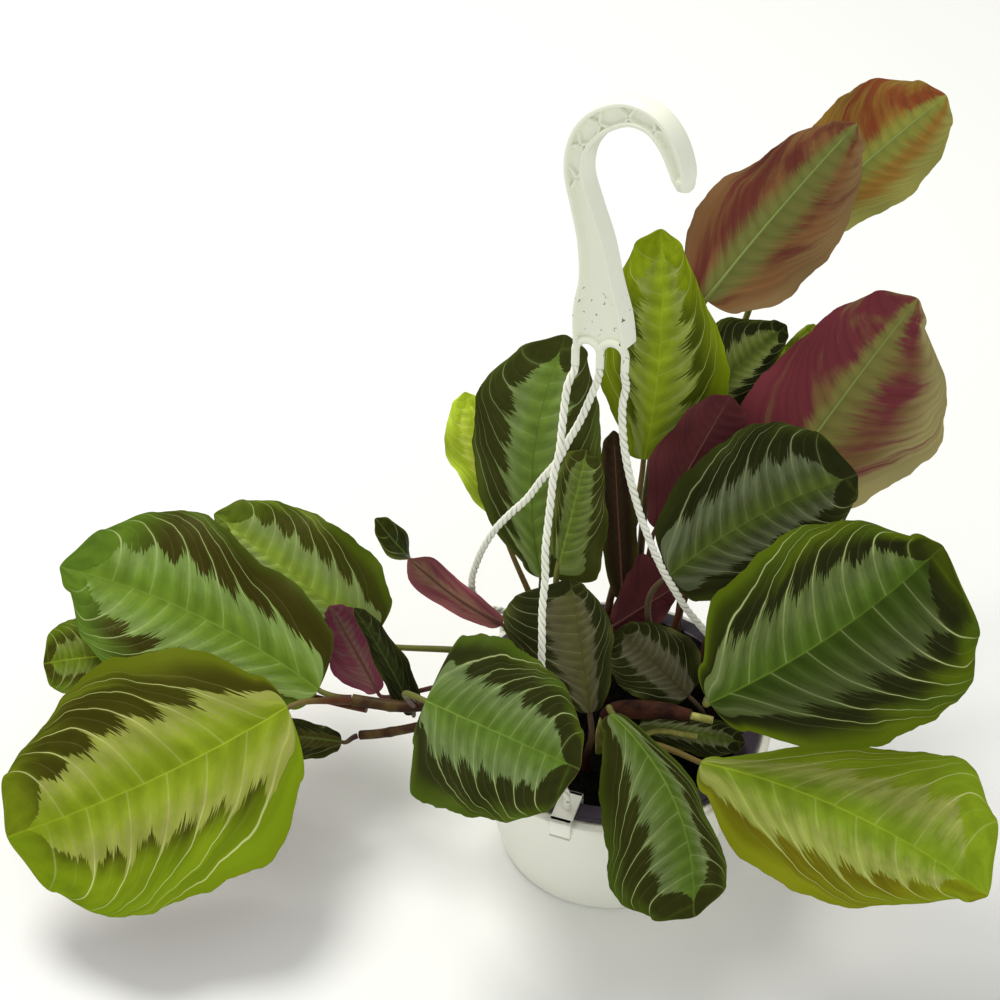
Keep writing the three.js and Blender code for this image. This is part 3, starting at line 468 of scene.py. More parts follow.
def curve_at(route, t):
    """The point at share t of a smooth curve through the route."""
    route = np.array(route, float)
    ends = np.vstack([2 * route[0] - route[1], route, 2 * route[-1] - route[-2]])
    spot = min(t, 1 - 1e-9) * (len(route) - 1)
    i = int(spot)
    s = spot - i
    p, q, r, w = ends[i:i + 4]
    first, middle, last = (np.linalg.norm(b - a) ** 0.5 for a, b in ((p, q), (q, r), (r, w)))
    leave = (q - p) * middle / first - (r - p) * middle / (first + middle) + (r - q)
    arrive = (r - q) - (w - q) * middle / (middle + last) + (w - r) * middle / last
    straight = q * (2 * s**3 - 3 * s**2 + 1) + r * (3 * s**2 - 2 * s**3)
    return straight + leave * (s**3 - 2 * s**2 + s) + arrive * (s**3 - s**2)


def even_path(route, count):
    """Points at even distances along a smooth curve through the route."""
    dense = np.array([curve_at(route, t) for t in np.linspace(0, 1, 24 * len(route))])
    walked = walked_along(dense)
    wanted = np.linspace(0, walked[-1], count)
    return np.column_stack([np.interp(wanted, walked, dense[:, axis]) for axis in range(3)])


def rings_along(path, radii, sides, shape=None):
    """Points in rings about a path. shape turns (ring, angle) into a share of the radius."""
    path = np.array(path, float)
    tangents = np.gradient(path, axis=0)
    tangents /= np.linalg.norm(tangents, axis=1)[:, None]
    side = np.array([1.0, 0, 0]) if abs(tangents[0][0]) < 0.9 else np.array([0, 1.0, 0])
    turn = circle(sides)
    points = []
    for i, (place, along) in enumerate(zip(path, tangents)):
        side = unit(side - along * (side @ along))
        other = np.cross(along, side)
        wide = radii[i] * (shape(i, turn) if shape else np.ones(sides))
        spokes = np.outer(np.cos(turn), side) + np.outer(np.sin(turn), other)
        points.append(place + spokes * wide[:, None])
    return np.vstack(points)


def tube_faces(rings, sides, start=0):
    faces = []
    for i in range(rings - 1):
        for k in range(sides):
            a = start + i * sides + k
            b = start + i * sides + (k + 1) % sides
            faces.append((a, b, b + sides, a + sides))
    faces.append(tuple(start + k for k in reversed(range(sides))))
    faces.append(tuple(start + (rings - 1) * sides + k for k in range(sides)))
    return faces


def make_tube(name, path, radii, sides, material, shape=None):
    points = rings_along(path, radii, sides, shape) * MM
    return make_object(name, points, tube_faces(len(path), sides), [material], 60)


# Strands: the hanger's three cords, each three plies twisted together, from the hook to the clips

STRAND_DIAMETER = 3.2
STRAND_PITCH = 12
STRAND_SIDES = 24
STRAND_POINTS = 420
STRAND_LEGS = {"a": -1, "b": 1, "c": 0}
STRAND_UPRIGHT = 2
GAP = 0.3

# The clips' posts, which the strands end on

LIP_TOP = 78
CLIP_ANGLES = {"a": -110, "b": 10, "c": 130}
CLIP_MIDDLE = 62.5
CLIP_WALL = 2
CLIP_TOP = LIP_TOP + GAP + CLIP_WALL
POST_FOOT = CLIP_TOP - 0.5
POST_TOP = POST_FOOT + 4

# The hook's place, and the legs of its foot, which the strands start from

HOOK_PLACE = (-11, 0, LIP_TOP)
HOOK_YAW = math.radians(38)
FOOT_CENTRE = (1.5, 193.5)
FOOT_TILT = math.radians(18)
FOOT_ARCH = 6
FOOT_DEPTH = 2.4
LEG_DROP = 6

# Where each strand passes in the photograph, from the hook down

STRAND_ROUTES = {
    "a": [
        (-22.8, 2, 254), (-24, 0, 246), (-25, -4, 237), (-26, -8, 228), (-28, -10, 218),
        (-29, -13, 208), (-30, -16, 198), (-31, -20, 188), (-31, -23, 175), (-32, -27, 162),
        (-32, -31, 149), (-32, -35, 135), (-31, -40, 121), (-29, -46, 107), (-25, -53, 96),
    ],
    "b": [
        (-1.3, -7, 259), (-2.2, -6.5, 251), (-2.1, -6.5, 242), (-1.2, -6.8, 232), (0.2, -7.2, 223),
        (2, -7.5, 214), (4.4, -7.5, 204), (7.3, -7.1, 193), (10.6, -6.2, 182), (14.2, -5, 171),
        (18.2, -3.6, 160), (22.6, -2.2, 150), (28, -0.3, 138), (34, 1.8, 127), (43, 4.6, 112),
        (54, 8, 98),
    ],
    "c": [
        (-12.1, -1, 256.6), (-15, 1, 245), (-18, 2, 235), (-22, 4, 224), (-26, 6, 212),
        (-32, 10, 199), (-38, 14, 185), (-45, 18, 173), (-51, 22, 161), (-56, 25, 148),
        (-59, 28, 136), (-61, 31, 124), (-60, 34, 111), (-55, 39, 100), (-47, 44, 93),
    ],
}


def hook_point(across, height, depth=0.0):
    """A place on the hook, at a depth behind its mid plane."""
    x, y, z = HOOK_PLACE
    x += across * math.cos(HOOK_YAW) + depth * math.sin(HOOK_YAW)
    y += -across * math.sin(HOOK_YAW) + depth * math.cos(HOOK_YAW)
    return np.array([x, y, z + height])


def leg_end(k):
    """Where the three legs of the foot end, in the hook's plane."""
    reach = 2 * FOOT_ARCH * k
    x, z = FOOT_CENTRE
    return x + reach * math.cos(FOOT_TILT), z + reach * math.sin(FOOT_TILT) - LEG_DROP


def strand_path(key):
    """The route's ends stand upright, off the leg above and the clip's post below."""
    leg = hook_point(*leg_end(STRAND_LEGS[key]), -FOOT_DEPTH) - (0, 0, GAP)
    turn = math.radians(CLIP_ANGLES[key])
    end = np.array([CLIP_MIDDLE * math.cos(turn), CLIP_MIDDLE * math.sin(turn), POST_TOP + GAP])
    upright = np.array([0, 0, STRAND_UPRIGHT])
    return even_path([leg, leg - upright, *STRAND_ROUTES[key], end + upright, end], STRAND_POINTS)


def plies(turns_per_ring):
    """Three round plies: deep grooves that wind about the strand."""

    def shape(ring, turn):
        return 0.6 + 0.4 * np.abs(np.cos(1.5 * turn + turns_per_ring * ring * math.pi * 3)) ** 0.6

    return shape


def make_strand(key, material):
    path = strand_path(key)
    length = walked_along(path)[-1]
    radii = np.full(len(path), STRAND_DIAMETER / 2)
    shape = plies(length / STRAND_PITCH / len(path))
    piece = make_tube(f"rope_{key}", path, radii, STRAND_SIDES, material, shape)
    turn = circle(STRAND_SIDES)
    add_values(piece, "ply", np.concatenate([shape(ring, turn) for ring in range(len(path))]))
    stand_for(piece, "white_hanger", f"strand_{key}")


def strand_material():
    """White, and shaded down in the grooves between the plies."""
    material, wires, shader = new_material("white strand", 0.5)
    groove = wires.ramp(wires.attribute("ply"), 0.62, 0.92, 0.75, 0.0)
    white = linear((246, 247, 232))
    shade = linear((150, 150, 122))
    wires.put(shader["Base Color"], wires.mix(groove, white, shade))
    return material


STRAND_SKIN = strand_material()
for strand_key in STRAND_ROUTES:
    make_strand(strand_key, STRAND_SKIN)

# Leaves. right and left are half widths at the stations along the length, seen with the tip up.
# waves and veins are how many along an edge, fold a share of the width, curl in degrees, and the
# rest millimetres. shows is the slot of a leaf that turns its underside to the camera.

STATIONS = np.array([0.06, 0.2, 0.4, 0.6, 0.8, 0.94])
SOIL_TOP = 66
ROOT_DEPTH = 9
BLADE_THICKNESS = 0.6
PLAIN_BLADE = {
    "arch": 4, "sweep": 0, "lobe": 0, "waves": 2.6, "ripple": 1.6, "fold": 0.1, "curl": 0,
    "small": False, "relief": 0.7, "veins": 7, "under": "maroon",
}


def leaf(name, look, **shape):
    return {**PLAIN_BLADE, "name": name, "look": look, **shape}


def rooted(x, y, leave, arrive, radius=1.9):
    """A stalk that stands in the soil: where, how it leaves, and how straight it meets the blade."""
    start = (x, y, SOIL_TOP + 1)
    return {"from": start, "leave": leave, "arrive": arrive, "radius": radius, "in_soil": True}


def grown(start, leave, arrive, radius=1.6):
    """A stalk that starts on a stem."""
    return {"from": start, "leave": leave, "arrive": arrive, "radius": radius, "in_soil": False}


LEAVES = [
    leaf("left_front", "bright", base=(-140, -8, 86), tip=(-255, -51, 53), facing=(-0.05, -0.55, 0.83),
         right=(19, 42, 53, 52, 38, 26), left=(31, 52, 53, 53, 47, 30),
         arch=5, sweep=-5, stalk=grown((-114, 1.8, 79.4), (-12, -3, 3), 8)),
    leaf("left_back", "green", base=(-128, 8, 80), tip=(-243, 61, 103), facing=(-0.05, -0.53, 0.84),
         right=(25, 32, 34, 42, 36, 22), left=(14, 26, 34, 39, 30, 10),
         sweep=6, stalk=grown((-113.6, 6, 76.8), (-6, 0, 0), 4)),
    leaf("left_far", "green", base=(-106, 39, 80), tip=(-177, 87, 111), facing=(0, -0.53, 0.85),
         right=(20, 28, 30, 28, 22, 14), left=(7, 13, 15, 13, 9, 5),
         stalk=rooted(-34, 16, (0, 0, 42), 12)),
    leaf("left_small", "bright", base=(-212, 36, 73), tip=(-252, 33, 71), facing=(0, -0.53, 0.85),
         right=(10, 15, 18, 19, 17, 13), left=(7, 12, 16, 16, 15, 11),
         small=True, stalk=grown((-107, 3, 73), (-40, 14, -4), 20)),
    leaf("left_low", "dark", base=(-118, -6, 62), tip=(-156, -4, 64), facing=(0, -0.53, 0.85),
         right=(4, 6, 7, 8, 7, 5), left=(5, 8, 10, 11, 10, 7),
         small=True, stalk=grown((-111.3, -2.5, 62), (-3, -1, 0), 2, 1.3)),
    leaf("left_purple", "green", base=(-103, 19, 67), tip=(-124, 42, 97), facing=(0, 0.75, -0.66),
         right=(5, 10, 14, 11, 7, 4), left=(4, 8, 11, 13, 12, 6),
         small=True, under="purple", shows="purple_underside",
         stalk=rooted(-38, 7, (0, 0, 44), 8, 1.5)),
    leaf("left_roll", "dark", base=(-87, 6, 67), tip=(-112, 29, 108), facing=(0.37, -0.7, 0.61),
         right=(5, 7, 8, 7, 6, 4), left=(4, 6, 6, 5, 3, 2),
         fold=0.5, small=True, stalk=grown((-87, 1, 77.6), (0, 3, -2.6), 1, 1.2)),
    leaf("front_left", "green", base=(-79, -39, 122), tip=(-19, -78, 125), facing=(-0.36, -0.5, 0.79),
         right=(18, 37, 36, 34, 30, 21), left=(31, 34, 35, 32, 26, 15),
         arch=5, stalk=grown((-86, -3, 82), (-2, -16, 22), 16)),
    leaf("curly", "green", base=(-48, 18, 110), tip=(-101, 40, 150), facing=(0, 0.6, -0.7),
         right=(4, 6, 7, 8, 7, 5), left=(4, 6, 7, 8, 7, 5),
         sweep=4, curl=165, ripple=1, small=True, shows="purple_underside",
         stalk=rooted(-28, 22, (0, 0, 16), 14, 1.6)),
    leaf("centre_front", "dark", base=(-12, -38, 114), tip=(-20, 1, 151), facing=(0.08, -0.68, 0.73),
         right=(6, 10, 12, 14, 11, 6), left=(6, 16, 25, 29, 30, 24),
         arch=3, stalk=rooted(-12, -26, (0, 0, 20), 14)),
    leaf("centre_tall", "dark", base=(-31, 29, 127), tip=(-22, 76, 219), facing=(-0.1, -0.89, 0.45),
         right=(9, 20, 27, 27, 21, 12), left=(7, 18, 23, 27, 27, 17),
         sweep=-8, stalk=rooted(-22, 26, (0, 0, 26), 22)),
    leaf("centre_behind", "bright", base=(-49, 59, 134), tip=(-64, 95, 175), facing=(0, -0.75, 0.66),
         right=(5, 8, 10, 11, 9, 5), left=(4, 9, 12, 15, 12, 7),
         small=True, stalk=rooted(-28, 38, (0, 0, 30), 22)),
    leaf("centre_low", "green", base=(-24, 15, 150), tip=(-13, 45, 184), facing=(0.1, -0.78, 0.61),
         right=(17, 17, 16, 13, 10, 7), left=(4, 6, 8, 9, 9, 8),
         arch=2, lobe=8, stalk=rooted(-18, 6, (0, 0, 34), 20)),
    leaf("top_middle", "bright", base=(14, 76, 154), tip=(19, 113, 247), facing=(0.08, -0.93, 0.37),
         right=(22, 32, 31, 24, 15, 9), left=(9, 17, 26, 24, 19, 12),
         arch=2, sweep=3, stalk=rooted(4, 46, (0, 12, 34), 22)),
    leaf("top_small", "dark", base=(38, 90, 177), tip=(75, 111, 200), facing=(0.1, -0.81, 0.57),
         right=(12, 16, 15, 12, 8, 5), left=(6, 11, 19, 21, 12, 6),
         small=True, arch=2, stalk=rooted(20, 41, (8, 40, 58), 8)),
    leaf("top_right_front", "green", base=(39, 106, 218), tip=(100, 141, 282), facing=(-0.1, 0.91, -0.41),
         right=(17, 26, 28, 22, 17, 9), left=(16, 27, 31, 29, 22, 11),
         shows="purple_underside",
         stalk=rooted(12, 46, (2, 30, 50), 34)),
    leaf("top_right_back", "green", base=(80, 138, 234), tip=(142, 168, 280), facing=(-0.1, 0.89, -0.45),
         right=(11, 20, 27, 29, 25, 14), left=(11, 17, 22, 24, 21, 12),
         under="orange", shows="orange_underside",
         stalk=rooted(29, 37, (6, 40, 50), 34)),
    leaf("right_upper", "green", base=(67, 61, 141), tip=(126, 94, 225), facing=(0, 0.93, -0.37),
         right=(18, 33, 34, 31, 25, 17), left=(21, 35, 46, 47, 34, 10),
         arch=6, sweep=-1, shows="purple_underside",
         stalk=rooted(40, 24, (0, 4, 30), 26)),
    leaf("right_purple", "green", base=(18, 44, 142), tip=(49, 77, 187), facing=(0, 0.79, -0.62),
         right=(6, 11, 17, 15, 13, 8), left=(7, 12, 15, 18, 17, 11),
         small=True, arch=2, under="purple", shows="purple_underside",
         stalk=rooted(13, 37, (2, 4, 40), 6)),
    leaf("right_middle", "dark", base=(23, 19, 138), tip=(99, 41, 174), facing=(-0.15, -0.68, 0.72),
         right=(16, 24, 27, 24, 20, 11), left=(21, 28, 33, 35, 33, 24),
         sweep=-4, relief=1.1,
         stalk=rooted(26, 8, (0, 0, 30), 24)),
    leaf("right_big", "green", base=(36, -42, 124), tip=(130, 3, 167), facing=(0.05, -0.72, 0.69),
         right=(17, 34, 46, 51, 49, 38), left=(16, 36, 43, 43, 32, 12),
         arch=6, sweep=4, relief=1.1,
         stalk=rooted(44, 4, (0, 0, 24), 3)),
    leaf("right_low", "bright", base=(34, -47, 94), tip=(146, -94, 68), facing=(0, -0.5, 0.87),
         right=(13, 31, 39, 36, 22, 8), left=(4, 13, 25, 34, 41, 30),
         sweep=-6, stalk=rooted(1, -36, (0, 3, 34), 20)),
    leaf("front_low", "green", base=(-4, -48, 124), tip=(29, -101, 64), facing=(0, -0.75, 0.66),
         right=(8, 18, 29, 33, 33, 19), left=(4, 6, 10, 10, 14, 14),
         sweep=-10, stalk=rooted(5, -43, (0, 0, 34), 8)),
    leaf("centre_grey", "dark", base=(31, -11, 96), tip=(2, 9.5, 115), facing=(0, -0.69, 0.73),
         right=(10, 16, 18, 16, 12, 7), left=(8, 13, 16, 17, 15, 10),
         small=True, arch=2, stalk=rooted(40, -6, (0, 0, 12), 8, 1.6)),
    leaf("centre_purple", "dark", base=(0, 18, 109), tip=(28, 30, 122), facing=(0, 0.75, -0.66),
         right=(5, 9, 13, 17, 20, 14), left=(7, 9, 11, 9, 6, 3),
         small=True, arch=1, under="purple", shows="purple_underside",
         stalk=rooted(-2, 14, (0, 0, 16), 12, 1.6)),
    # A dark leaf set in the shaded gap among the others; its darkness is partly painted shade
    leaf("centre_shadow", "dark", base=(5, 38, 106), tip=(1, 85, 161), facing=(0, 0.75, -0.66),
         right=(5, 7, 8, 8, 7, 5), left=(5, 7, 8, 8, 7, 5),
         small=True, arch=2, shows="purple_underside",
         stalk=rooted(3, 27, (0, 0, 14), 14, 1.6)),
    leaf("low_dark", "dark", base=(10, -19, 85), tip=(54, -25, 82), facing=(0, -0.46, 0.89),
         right=(5, 7, 8, 9, 8, 5), left=(4, 7, 8, 8, 7, 5),
         small=True, arch=2, stalk=rooted(4, -17, (0, 0, 8), 6, 1.5)),
    leaf("right_sliver", "bright", base=(71, 99, 170), tip=(89, 120, 194), facing=(0, -0.75, 0.66),
         right=(5, 8, 10, 10, 8, 5), left=(4, 7, 9, 7, 5, 3),
         small=True, arch=1, stalk=rooted(23, 31, (10, 18, 40), 24)),
    leaf("back_tall", "green", base=(-22, 67, 109), tip=(-33, 103, 165), facing=(0.19, 0.83, 0.53),
         right=(10, 16, 20, 20, 17, 12), left=(10, 15, 19, 20, 18, 13),
         stalk=rooted(-14, 45, (0, 4, 16), 16)),
    leaf("back_right", "green", base=(52, 59, 110), tip=(96, 86, 138), facing=(0.3, 0.8, 0.5),
         right=(8, 13, 17, 17, 14, 9), left=(7, 12, 16, 16, 13, 8),
         stalk=rooted(46, 12, (2, 8, 14), 16)),
    leaf("back_middle", "green", base=(20, 100, 145), tip=(15, 132, 203), facing=(0.1, 0.86, 0.49),
         right=(9, 14, 16, 15, 13, 9), left=(10, 15, 18, 17, 14, 9),
         stalk=rooted(-2, 47, (0, 16, 30), 22)),
]

# Colours of single leaves that differ from their look, on the side that faces the camera. The shares that
# darken one half of a blade, or the bands between its veins, are painted shade

UPPER_TINTS = {
    "left_front": {
        "Tilt": -0.2, "Glow": (122, 142, 20), "Grey": (152, 156, 78), "Blotch": 0.6, "Dark": (58, 56, 10),
        "Margin": (98, 108, 18), "Left margin": (108, 130, 16), "Fade start": 0.54, "Fade end": 0.95,
        "Tip fade": 1.0,
    },
    "left_back": {
        "Pale": (106, 136, 44), "Grey": (126, 150, 82), "Dark": (50, 46, 10), "Margin": (76, 104, 28),
        "Tilt": -0.14, "Tip fade": 0.9, "Blotch": 0.6,
    },
    "left_far": {"Pale": (124, 150, 60), "Glow": (132, 154, 48), "Dark": (54, 56, 12), "Tip fade": 0.92},
    "left_small": {
        "Pale": (106, 126, 34), "Glow": (96, 118, 22), "Grey": (120, 136, 66), "Margin": (90, 112, 16),
    },
    "left_low": {"Pale": (58, 56, 22), "Grey": (64, 62, 30), "Glow": (66, 68, 22), "Line": 0.3},
    "left_roll": {"Pale": (40, 48, 22), "Grey": (50, 58, 32), "Glow": (44, 54, 22), "Line": 0.35},
    "curly": {"Pale": (40, 48, 22), "Grey": (46, 54, 30), "Glow": (44, 54, 22)},
    "front_left": {
        "Pale": (92, 116, 50), "Grey": (110, 128, 80), "Glow": (86, 114, 36), "Dark": (38, 41, 14),
        "Margin": (64, 80, 16),
    },
    "front_low": {
        "Pale": (88, 110, 42), "Grey": (110, 126, 78), "Glow": (78, 104, 32), "Margin": (64, 80, 16),
    },
    "right_big": {
        "Pale": (70, 92, 32), "Grey": (94, 106, 62), "Glow": (62, 86, 22), "Dark": (26, 28, 9),
        "Margin": (78, 94, 8), "Rib": (92, 118, 40), "Reach": 0.56, "Fade start": 0.64, "Fade end": 0.92,
        "Ridge shade": 0.36, "Half": -0.36, "Line": 0.85, "Tip fade": 1.1,
    },
    "right_middle": {
        "Pale": (68, 78, 42), "Grey": (92, 100, 74), "Dark": (25, 27, 10), "Margin": (44, 50, 14),
        "Reach": 0.56, "Ridge shade": 0.36, "Half": -0.16,
    },
    "right_low": {
        "Pale": (126, 150, 42), "Grey": (156, 162, 82), "Glow": (122, 148, 28), "Margin": (120, 126, 18),
        "Left margin": (126, 148, 30), "Dark": (102, 96, 12), "Fade start": 0.36, "Fade end": 0.85,
        "Reach": 0.62, "Tilt": -0.22, "Tip fade": 0.9,
    },
    "top_middle": {
        "Pale": (134, 154, 38), "Glow": (150, 172, 30), "Grey": (148, 160, 78), "Margin": (118, 134, 12),
        "Dark": (66, 76, 10), "Tip fade": 0.8, "Tilt": -0.06, "Teeth": 0.2, "Line": 0.55,
    },
    "centre_behind": {
        "Pale": (184, 206, 62), "Margin": (178, 202, 54), "Dark": (156, 178, 40), "Grey": (192, 208, 82),
        "Glow": (174, 198, 44),
    },
    "centre_tall": {
        "Pale": (108, 134, 58), "Grey": (124, 142, 84), "Glow": (102, 128, 46), "Dark": (50, 54, 20),
        "Margin": (52, 56, 18),
    },
    "centre_front": {
        "Pale": (84, 80, 52), "Grey": (84, 80, 62), "Glow": (76, 78, 42), "Margin": (60, 66, 22),
        "Rib": (70, 66, 36), "Ridge shade": 0.12,
    },
    "centre_grey": {
        "Pale": (82, 78, 58), "Grey": (92, 90, 72), "Glow": (70, 66, 46), "Rib": (60, 54, 34),
    },
    "centre_low": {
        "Pale": (88, 104, 42), "Grey": (102, 116, 62), "Glow": (90, 108, 40), "Dark": (48, 50, 16),
        "Margin": (72, 78, 24), "Reach": 0.58, "Tilt": -0.1, "Ridge shade": 0.1,
    },
    "top_small": {"Pale": (108, 122, 46), "Grey": (128, 138, 80), "Margin": (82, 94, 24)},
    "right_sliver": {"Margin": (146, 166, 34), "Dark": (120, 138, 28), "Pale": (156, 174, 44)},
}
UNDER_TINTS = {
    "right_upper": {
        "Green": (126, 124, 66), "Brown": (122, 94, 60), "Maroon": (114, 46, 58),
        "Margin": (162, 152, 102), "Rib": (140, 138, 80), "Tilt": 0.5, "Maroon amount": 0.44,
        "Green reach": 0.28,
    },
    # Its browns are partly the leaf's own colour, partly painted light shining through it
    "top_right_front": {
        "Tilt": 0.35, "Margin": (138, 110, 74), "Brown": (132, 92, 58), "Maroon": (108, 50, 46),
        "Green": (114, 120, 62), "Green reach": 0.46, "Maroon amount": 0.17,
    },
    "top_right_back": {
        "Tilt": 0.55, "Maroon amount": -0.14, "Brown": (152, 112, 50), "Maroon": (136, 68, 42),
    },
    # The pinkish grey is painted sheen on the curled underside; the magenta margin is the leaf's own
    # colour
    "left_purple": {
        "Green": (112, 84, 78), "Brown": (114, 74, 76), "Maroon": (110, 48, 70), "Margin": (126, 56, 86),
    },
    "curly": {
        "Green": (134, 102, 80), "Brown": (132, 88, 80), "Maroon": (120, 60, 72), "Margin": (140, 78, 84),
        "Rib": (110, 72, 66),
    },
    # Far darker than a leaf's own colours: painted shade for the gap between the leaves, with a
    # yellow-green margin of its own
    "centre_shadow": {
        "Green": (46, 34, 22), "Brown": (40, 24, 20), "Maroon": (36, 18, 20), "Margin": (62, 62, 22),
        "Rib": (58, 42, 28),
    },
}
LOOKS = {"upper": UPPER_LOOKS, "under": UNDER_LOOKS}
TINTS = {"upper": UPPER_TINTS, "under": UNDER_TINTS}

# Stalks: colours at the foot, at the blade and along the midrib

STALKS = {
    "bright": stalk_material("bright stalk", (84, 46, 28), (112, 96, 50), (134, 140, 70)),
    "green": stalk_material("green stalk", (72, 42, 28), (104, 106, 46), (126, 140, 74)),
    "dark": stalk_material("dark stalk", (62, 34, 28), (78, 64, 42), (92, 54, 48)),
    "purple": stalk_material("purple stalk", (62, 34, 28), (84, 48, 42), (100, 58, 54)),
}
PURPLE_STALKS = ("right_purple", "left_purple", "curly", "centre_purple", "centre_shadow")
STALK_SIDES = 10

EDGE_WAVER = ((2.3, 0.016), (5.1, 0.012), (9.7, 0.007), (21.3, 0.003))
TIP_POINT = 0.022


def half_width(widths, u):
    """Half width at shares u of the length: smooth through the stations, round at both ends."""
    widths = np.array(widths, float)
    last = len(STATIONS) - 1
    before = np.maximum(np.arange(last + 1) - 1, 0)
    after = np.minimum(np.arange(last + 1) + 1, last)
    slopes = (widths[after] - widths[before]) / (STATIONS[after] - STATIONS[before])
    i = np.clip(np.searchsorted(STATIONS, u) - 1, 0, last - 1)
    span = STATIONS[i + 1] - STATIONS[i]
    t = np.clip((u - STATIONS[i]) / span, 0, 1)
    ease = t * t * (3 - 2 * t)
    swell = span * (slopes[i] * t * (1 - t) ** 2 - slopes[i + 1] * t * t * (1 - t))
    middle = widths[i] * (1 - ease) + widths[i + 1] * ease + swell
    foot = widths[0] * np.sqrt(np.clip(1 - (1 - u / STATIONS[0]) ** 2, 0, 1))
    end = widths[last] * np.sqrt(np.clip(1 - ((u - STATIONS[last]) / (1 - STATIONS[last])) ** 2, 0, 1))
    return np.where(u <= STATIONS[0], foot, np.where(u >= STATIONS[last], end, middle))


class Blade:
    """A blade's surface: u runs along the midrib, v from -1 at the left edge to 1 at the right."""

    def __init__(self, entry):
        self.entry = entry
        self.base = np.array(entry["base"], float)
        along = np.array(entry["tip"], float) - self.base
        self.length = np.linalg.norm(along)
        self.along = along / self.length
        facing = np.array(entry["facing"], float)
        self.up = unit(facing - self.along * (facing @ self.along))
        self.right = np.cross(self.along, self.up)

    def out(self, u):
        """Which way the upper side looks: a curl turns it about the midrib."""
        t = np.clip((u - 0.5) / 0.35, 0, 1)
        turn = math.radians(self.entry["curl"]) * t * t * (3 - 2 * t)
        return np.outer(np.cos(turn), self.up) - np.outer(np.sin(turn), self.right)

    def width(self, u, v):
        """Half the width, with an edge that wavers a little."""
        wide = np.where(v < 0, half_width(self.entry["left"], u), half_width(self.entry["right"], u))
        start = len(self.entry["name"]) + self.base.sum() + np.where(v < 0, 1.3, 0)
        turns = 2 * math.pi * u + start
        waver = sum(size * np.sin(often * turns) for often, size in EDGE_WAVER)
        return wide * (1 + waver)

    def relief(self, u, v):
        """The blade swells between its side veins, which the leaf pattern draws at the same places."""
        reach = np.abs(v)
        lean = sum(share * reach**power for power, share in LEAN)
        root = (u - lean) / np.maximum(1 - lean, 0.01)
        root = 0.5 * (root + np.sqrt(root**2 + BASE_CROWDING**2))
        step = 2 * (root * self.entry["veins"] + np.sign(v) * VEIN_SHIFT)
        by_vein = np.abs(2 * (step % 1) - 1)
        room = np.minimum(1, reach * 6) * np.minimum(1, (1 - reach) * 2.2)
        room = room * np.minimum(1, 5 * u * (1 - u))
        return self.entry["relief"] * (1 - lean) * (0.5 - by_vein**1.6) * room

    def places(self, u, v):
        entry = self.entry
        hump = (4 * u * (1 - u))[:, None]
        reach = np.abs(v)
        width = self.width(u, v)
        phase = np.where(v < 0, 0.35, 0)
        swing = np.sin(2 * math.pi * (entry["waves"] * u + phase))
        wave = entry["ripple"] * swing * reach**3 * np.minimum(1, 1.5 * hump[:, 0])
        fold = entry["fold"] * width * (reach - 0.5 * reach**2)
        lobe = np.where(v > 0, entry["lobe"] * reach * (1 - u) ** 4, 0)
        out = self.out(u)
        side = np.cross(self.along, out)
        point = TIP_POINT * self.length * np.clip((u - STATIONS[-1]) / (1 - STATIONS[-1]), 0, 1) ** 16
        place = self.base + np.outer(u * self.length - lobe + point, self.along)
        place = place + hump * (self.right * entry["sweep"] + self.up * entry["arch"])
        return place + side * (v * width)[:, None] + out * (fold + wave + self.relief(u, v))[:, None]

    def rib(self, u, radii):
        """The midrib's centre, so far under the blade that it only shows below."""
        drop = np.maximum(radii[0] * (1 - 2 * u), radii)
        return self.places(u, np.zeros_like(u)) - drop[:, None] * self.out(u)


LARGE_GRID = (100, 40)
SMALL_GRID = (54, 26)
STALK_STEPS = 28
RIB_PLACES = np.linspace(0.05, 0.93, 24)


def blade_grid(entry):
    """u and v of the foot, each grid point and the end, and the blade's rows and columns."""
    rows, columns = SMALL_GRID if entry["small"] else LARGE_GRID
    u = 0.5 - 0.5 * np.cos(math.pi * np.arange(1, rows) / rows)
    even = np.linspace(-1, 1, columns + 1)
    u, v = np.meshgrid(u, np.sin(even * math.pi / 2) * 0.35 + even * 0.65, indexing="ij")
    return np.r_[0, u.ravel(), 1], np.r_[0, v.ravel(), 0], rows - 1, columns + 1


def sheet_faces(rows, columns):
    """Faces of the upper side, from the foot, the grid and the end, and the points round its rim."""
    end = rows * columns + 1

    def at(i, j):
        return 1 + i * columns + j

    faces = []
    for j in range(columns - 1):
        faces.append((0, at(0, j + 1), at(0, j)))
        for i in range(rows - 1):
            faces.append((at(i, j), at(i, j + 1), at(i + 1, j + 1), at(i + 1, j)))
        faces.append((end, at(rows - 1, j), at(rows - 1, j + 1)))
    right = [at(i, columns - 1) for i in range(rows)]
    left = [at(i, 0) for i in reversed(range(rows))]
    return faces, [0, *right, end, *left]


def stalk_path(entry, blade):
    """The leaf stalk from its root to the blade's foot, and on as a rib under the midrib."""
    stalk = entry["stalk"]
    thin = 0.9 if entry["small"] else 1.2
    start = np.array(stalk["from"], float)
    foot = blade.rib(np.zeros(1), np.array([thin]))[0] - blade.along
    leave = start + np.array(stalk["leave"], float)
    path = bezier(start, leave, foot - blade.along * stalk["arrive"], foot, STALK_STEPS)
    radii = np.linspace(stalk["radius"], thin, len(path))
    if stalk["in_soil"]:
        path = np.vstack([start - (0, 0, ROOT_DEPTH), path])
        radii = np.r_[stalk["radius"], radii]
    rib_radii = thin * np.interp(RIB_PLACES, [0, 0.15, 1], [1, 0.5, 0.2])
    return np.vstack([path, blade.rib(RIB_PLACES, rib_radii)]), np.r_[radii, rib_radii]


materials_made = {}


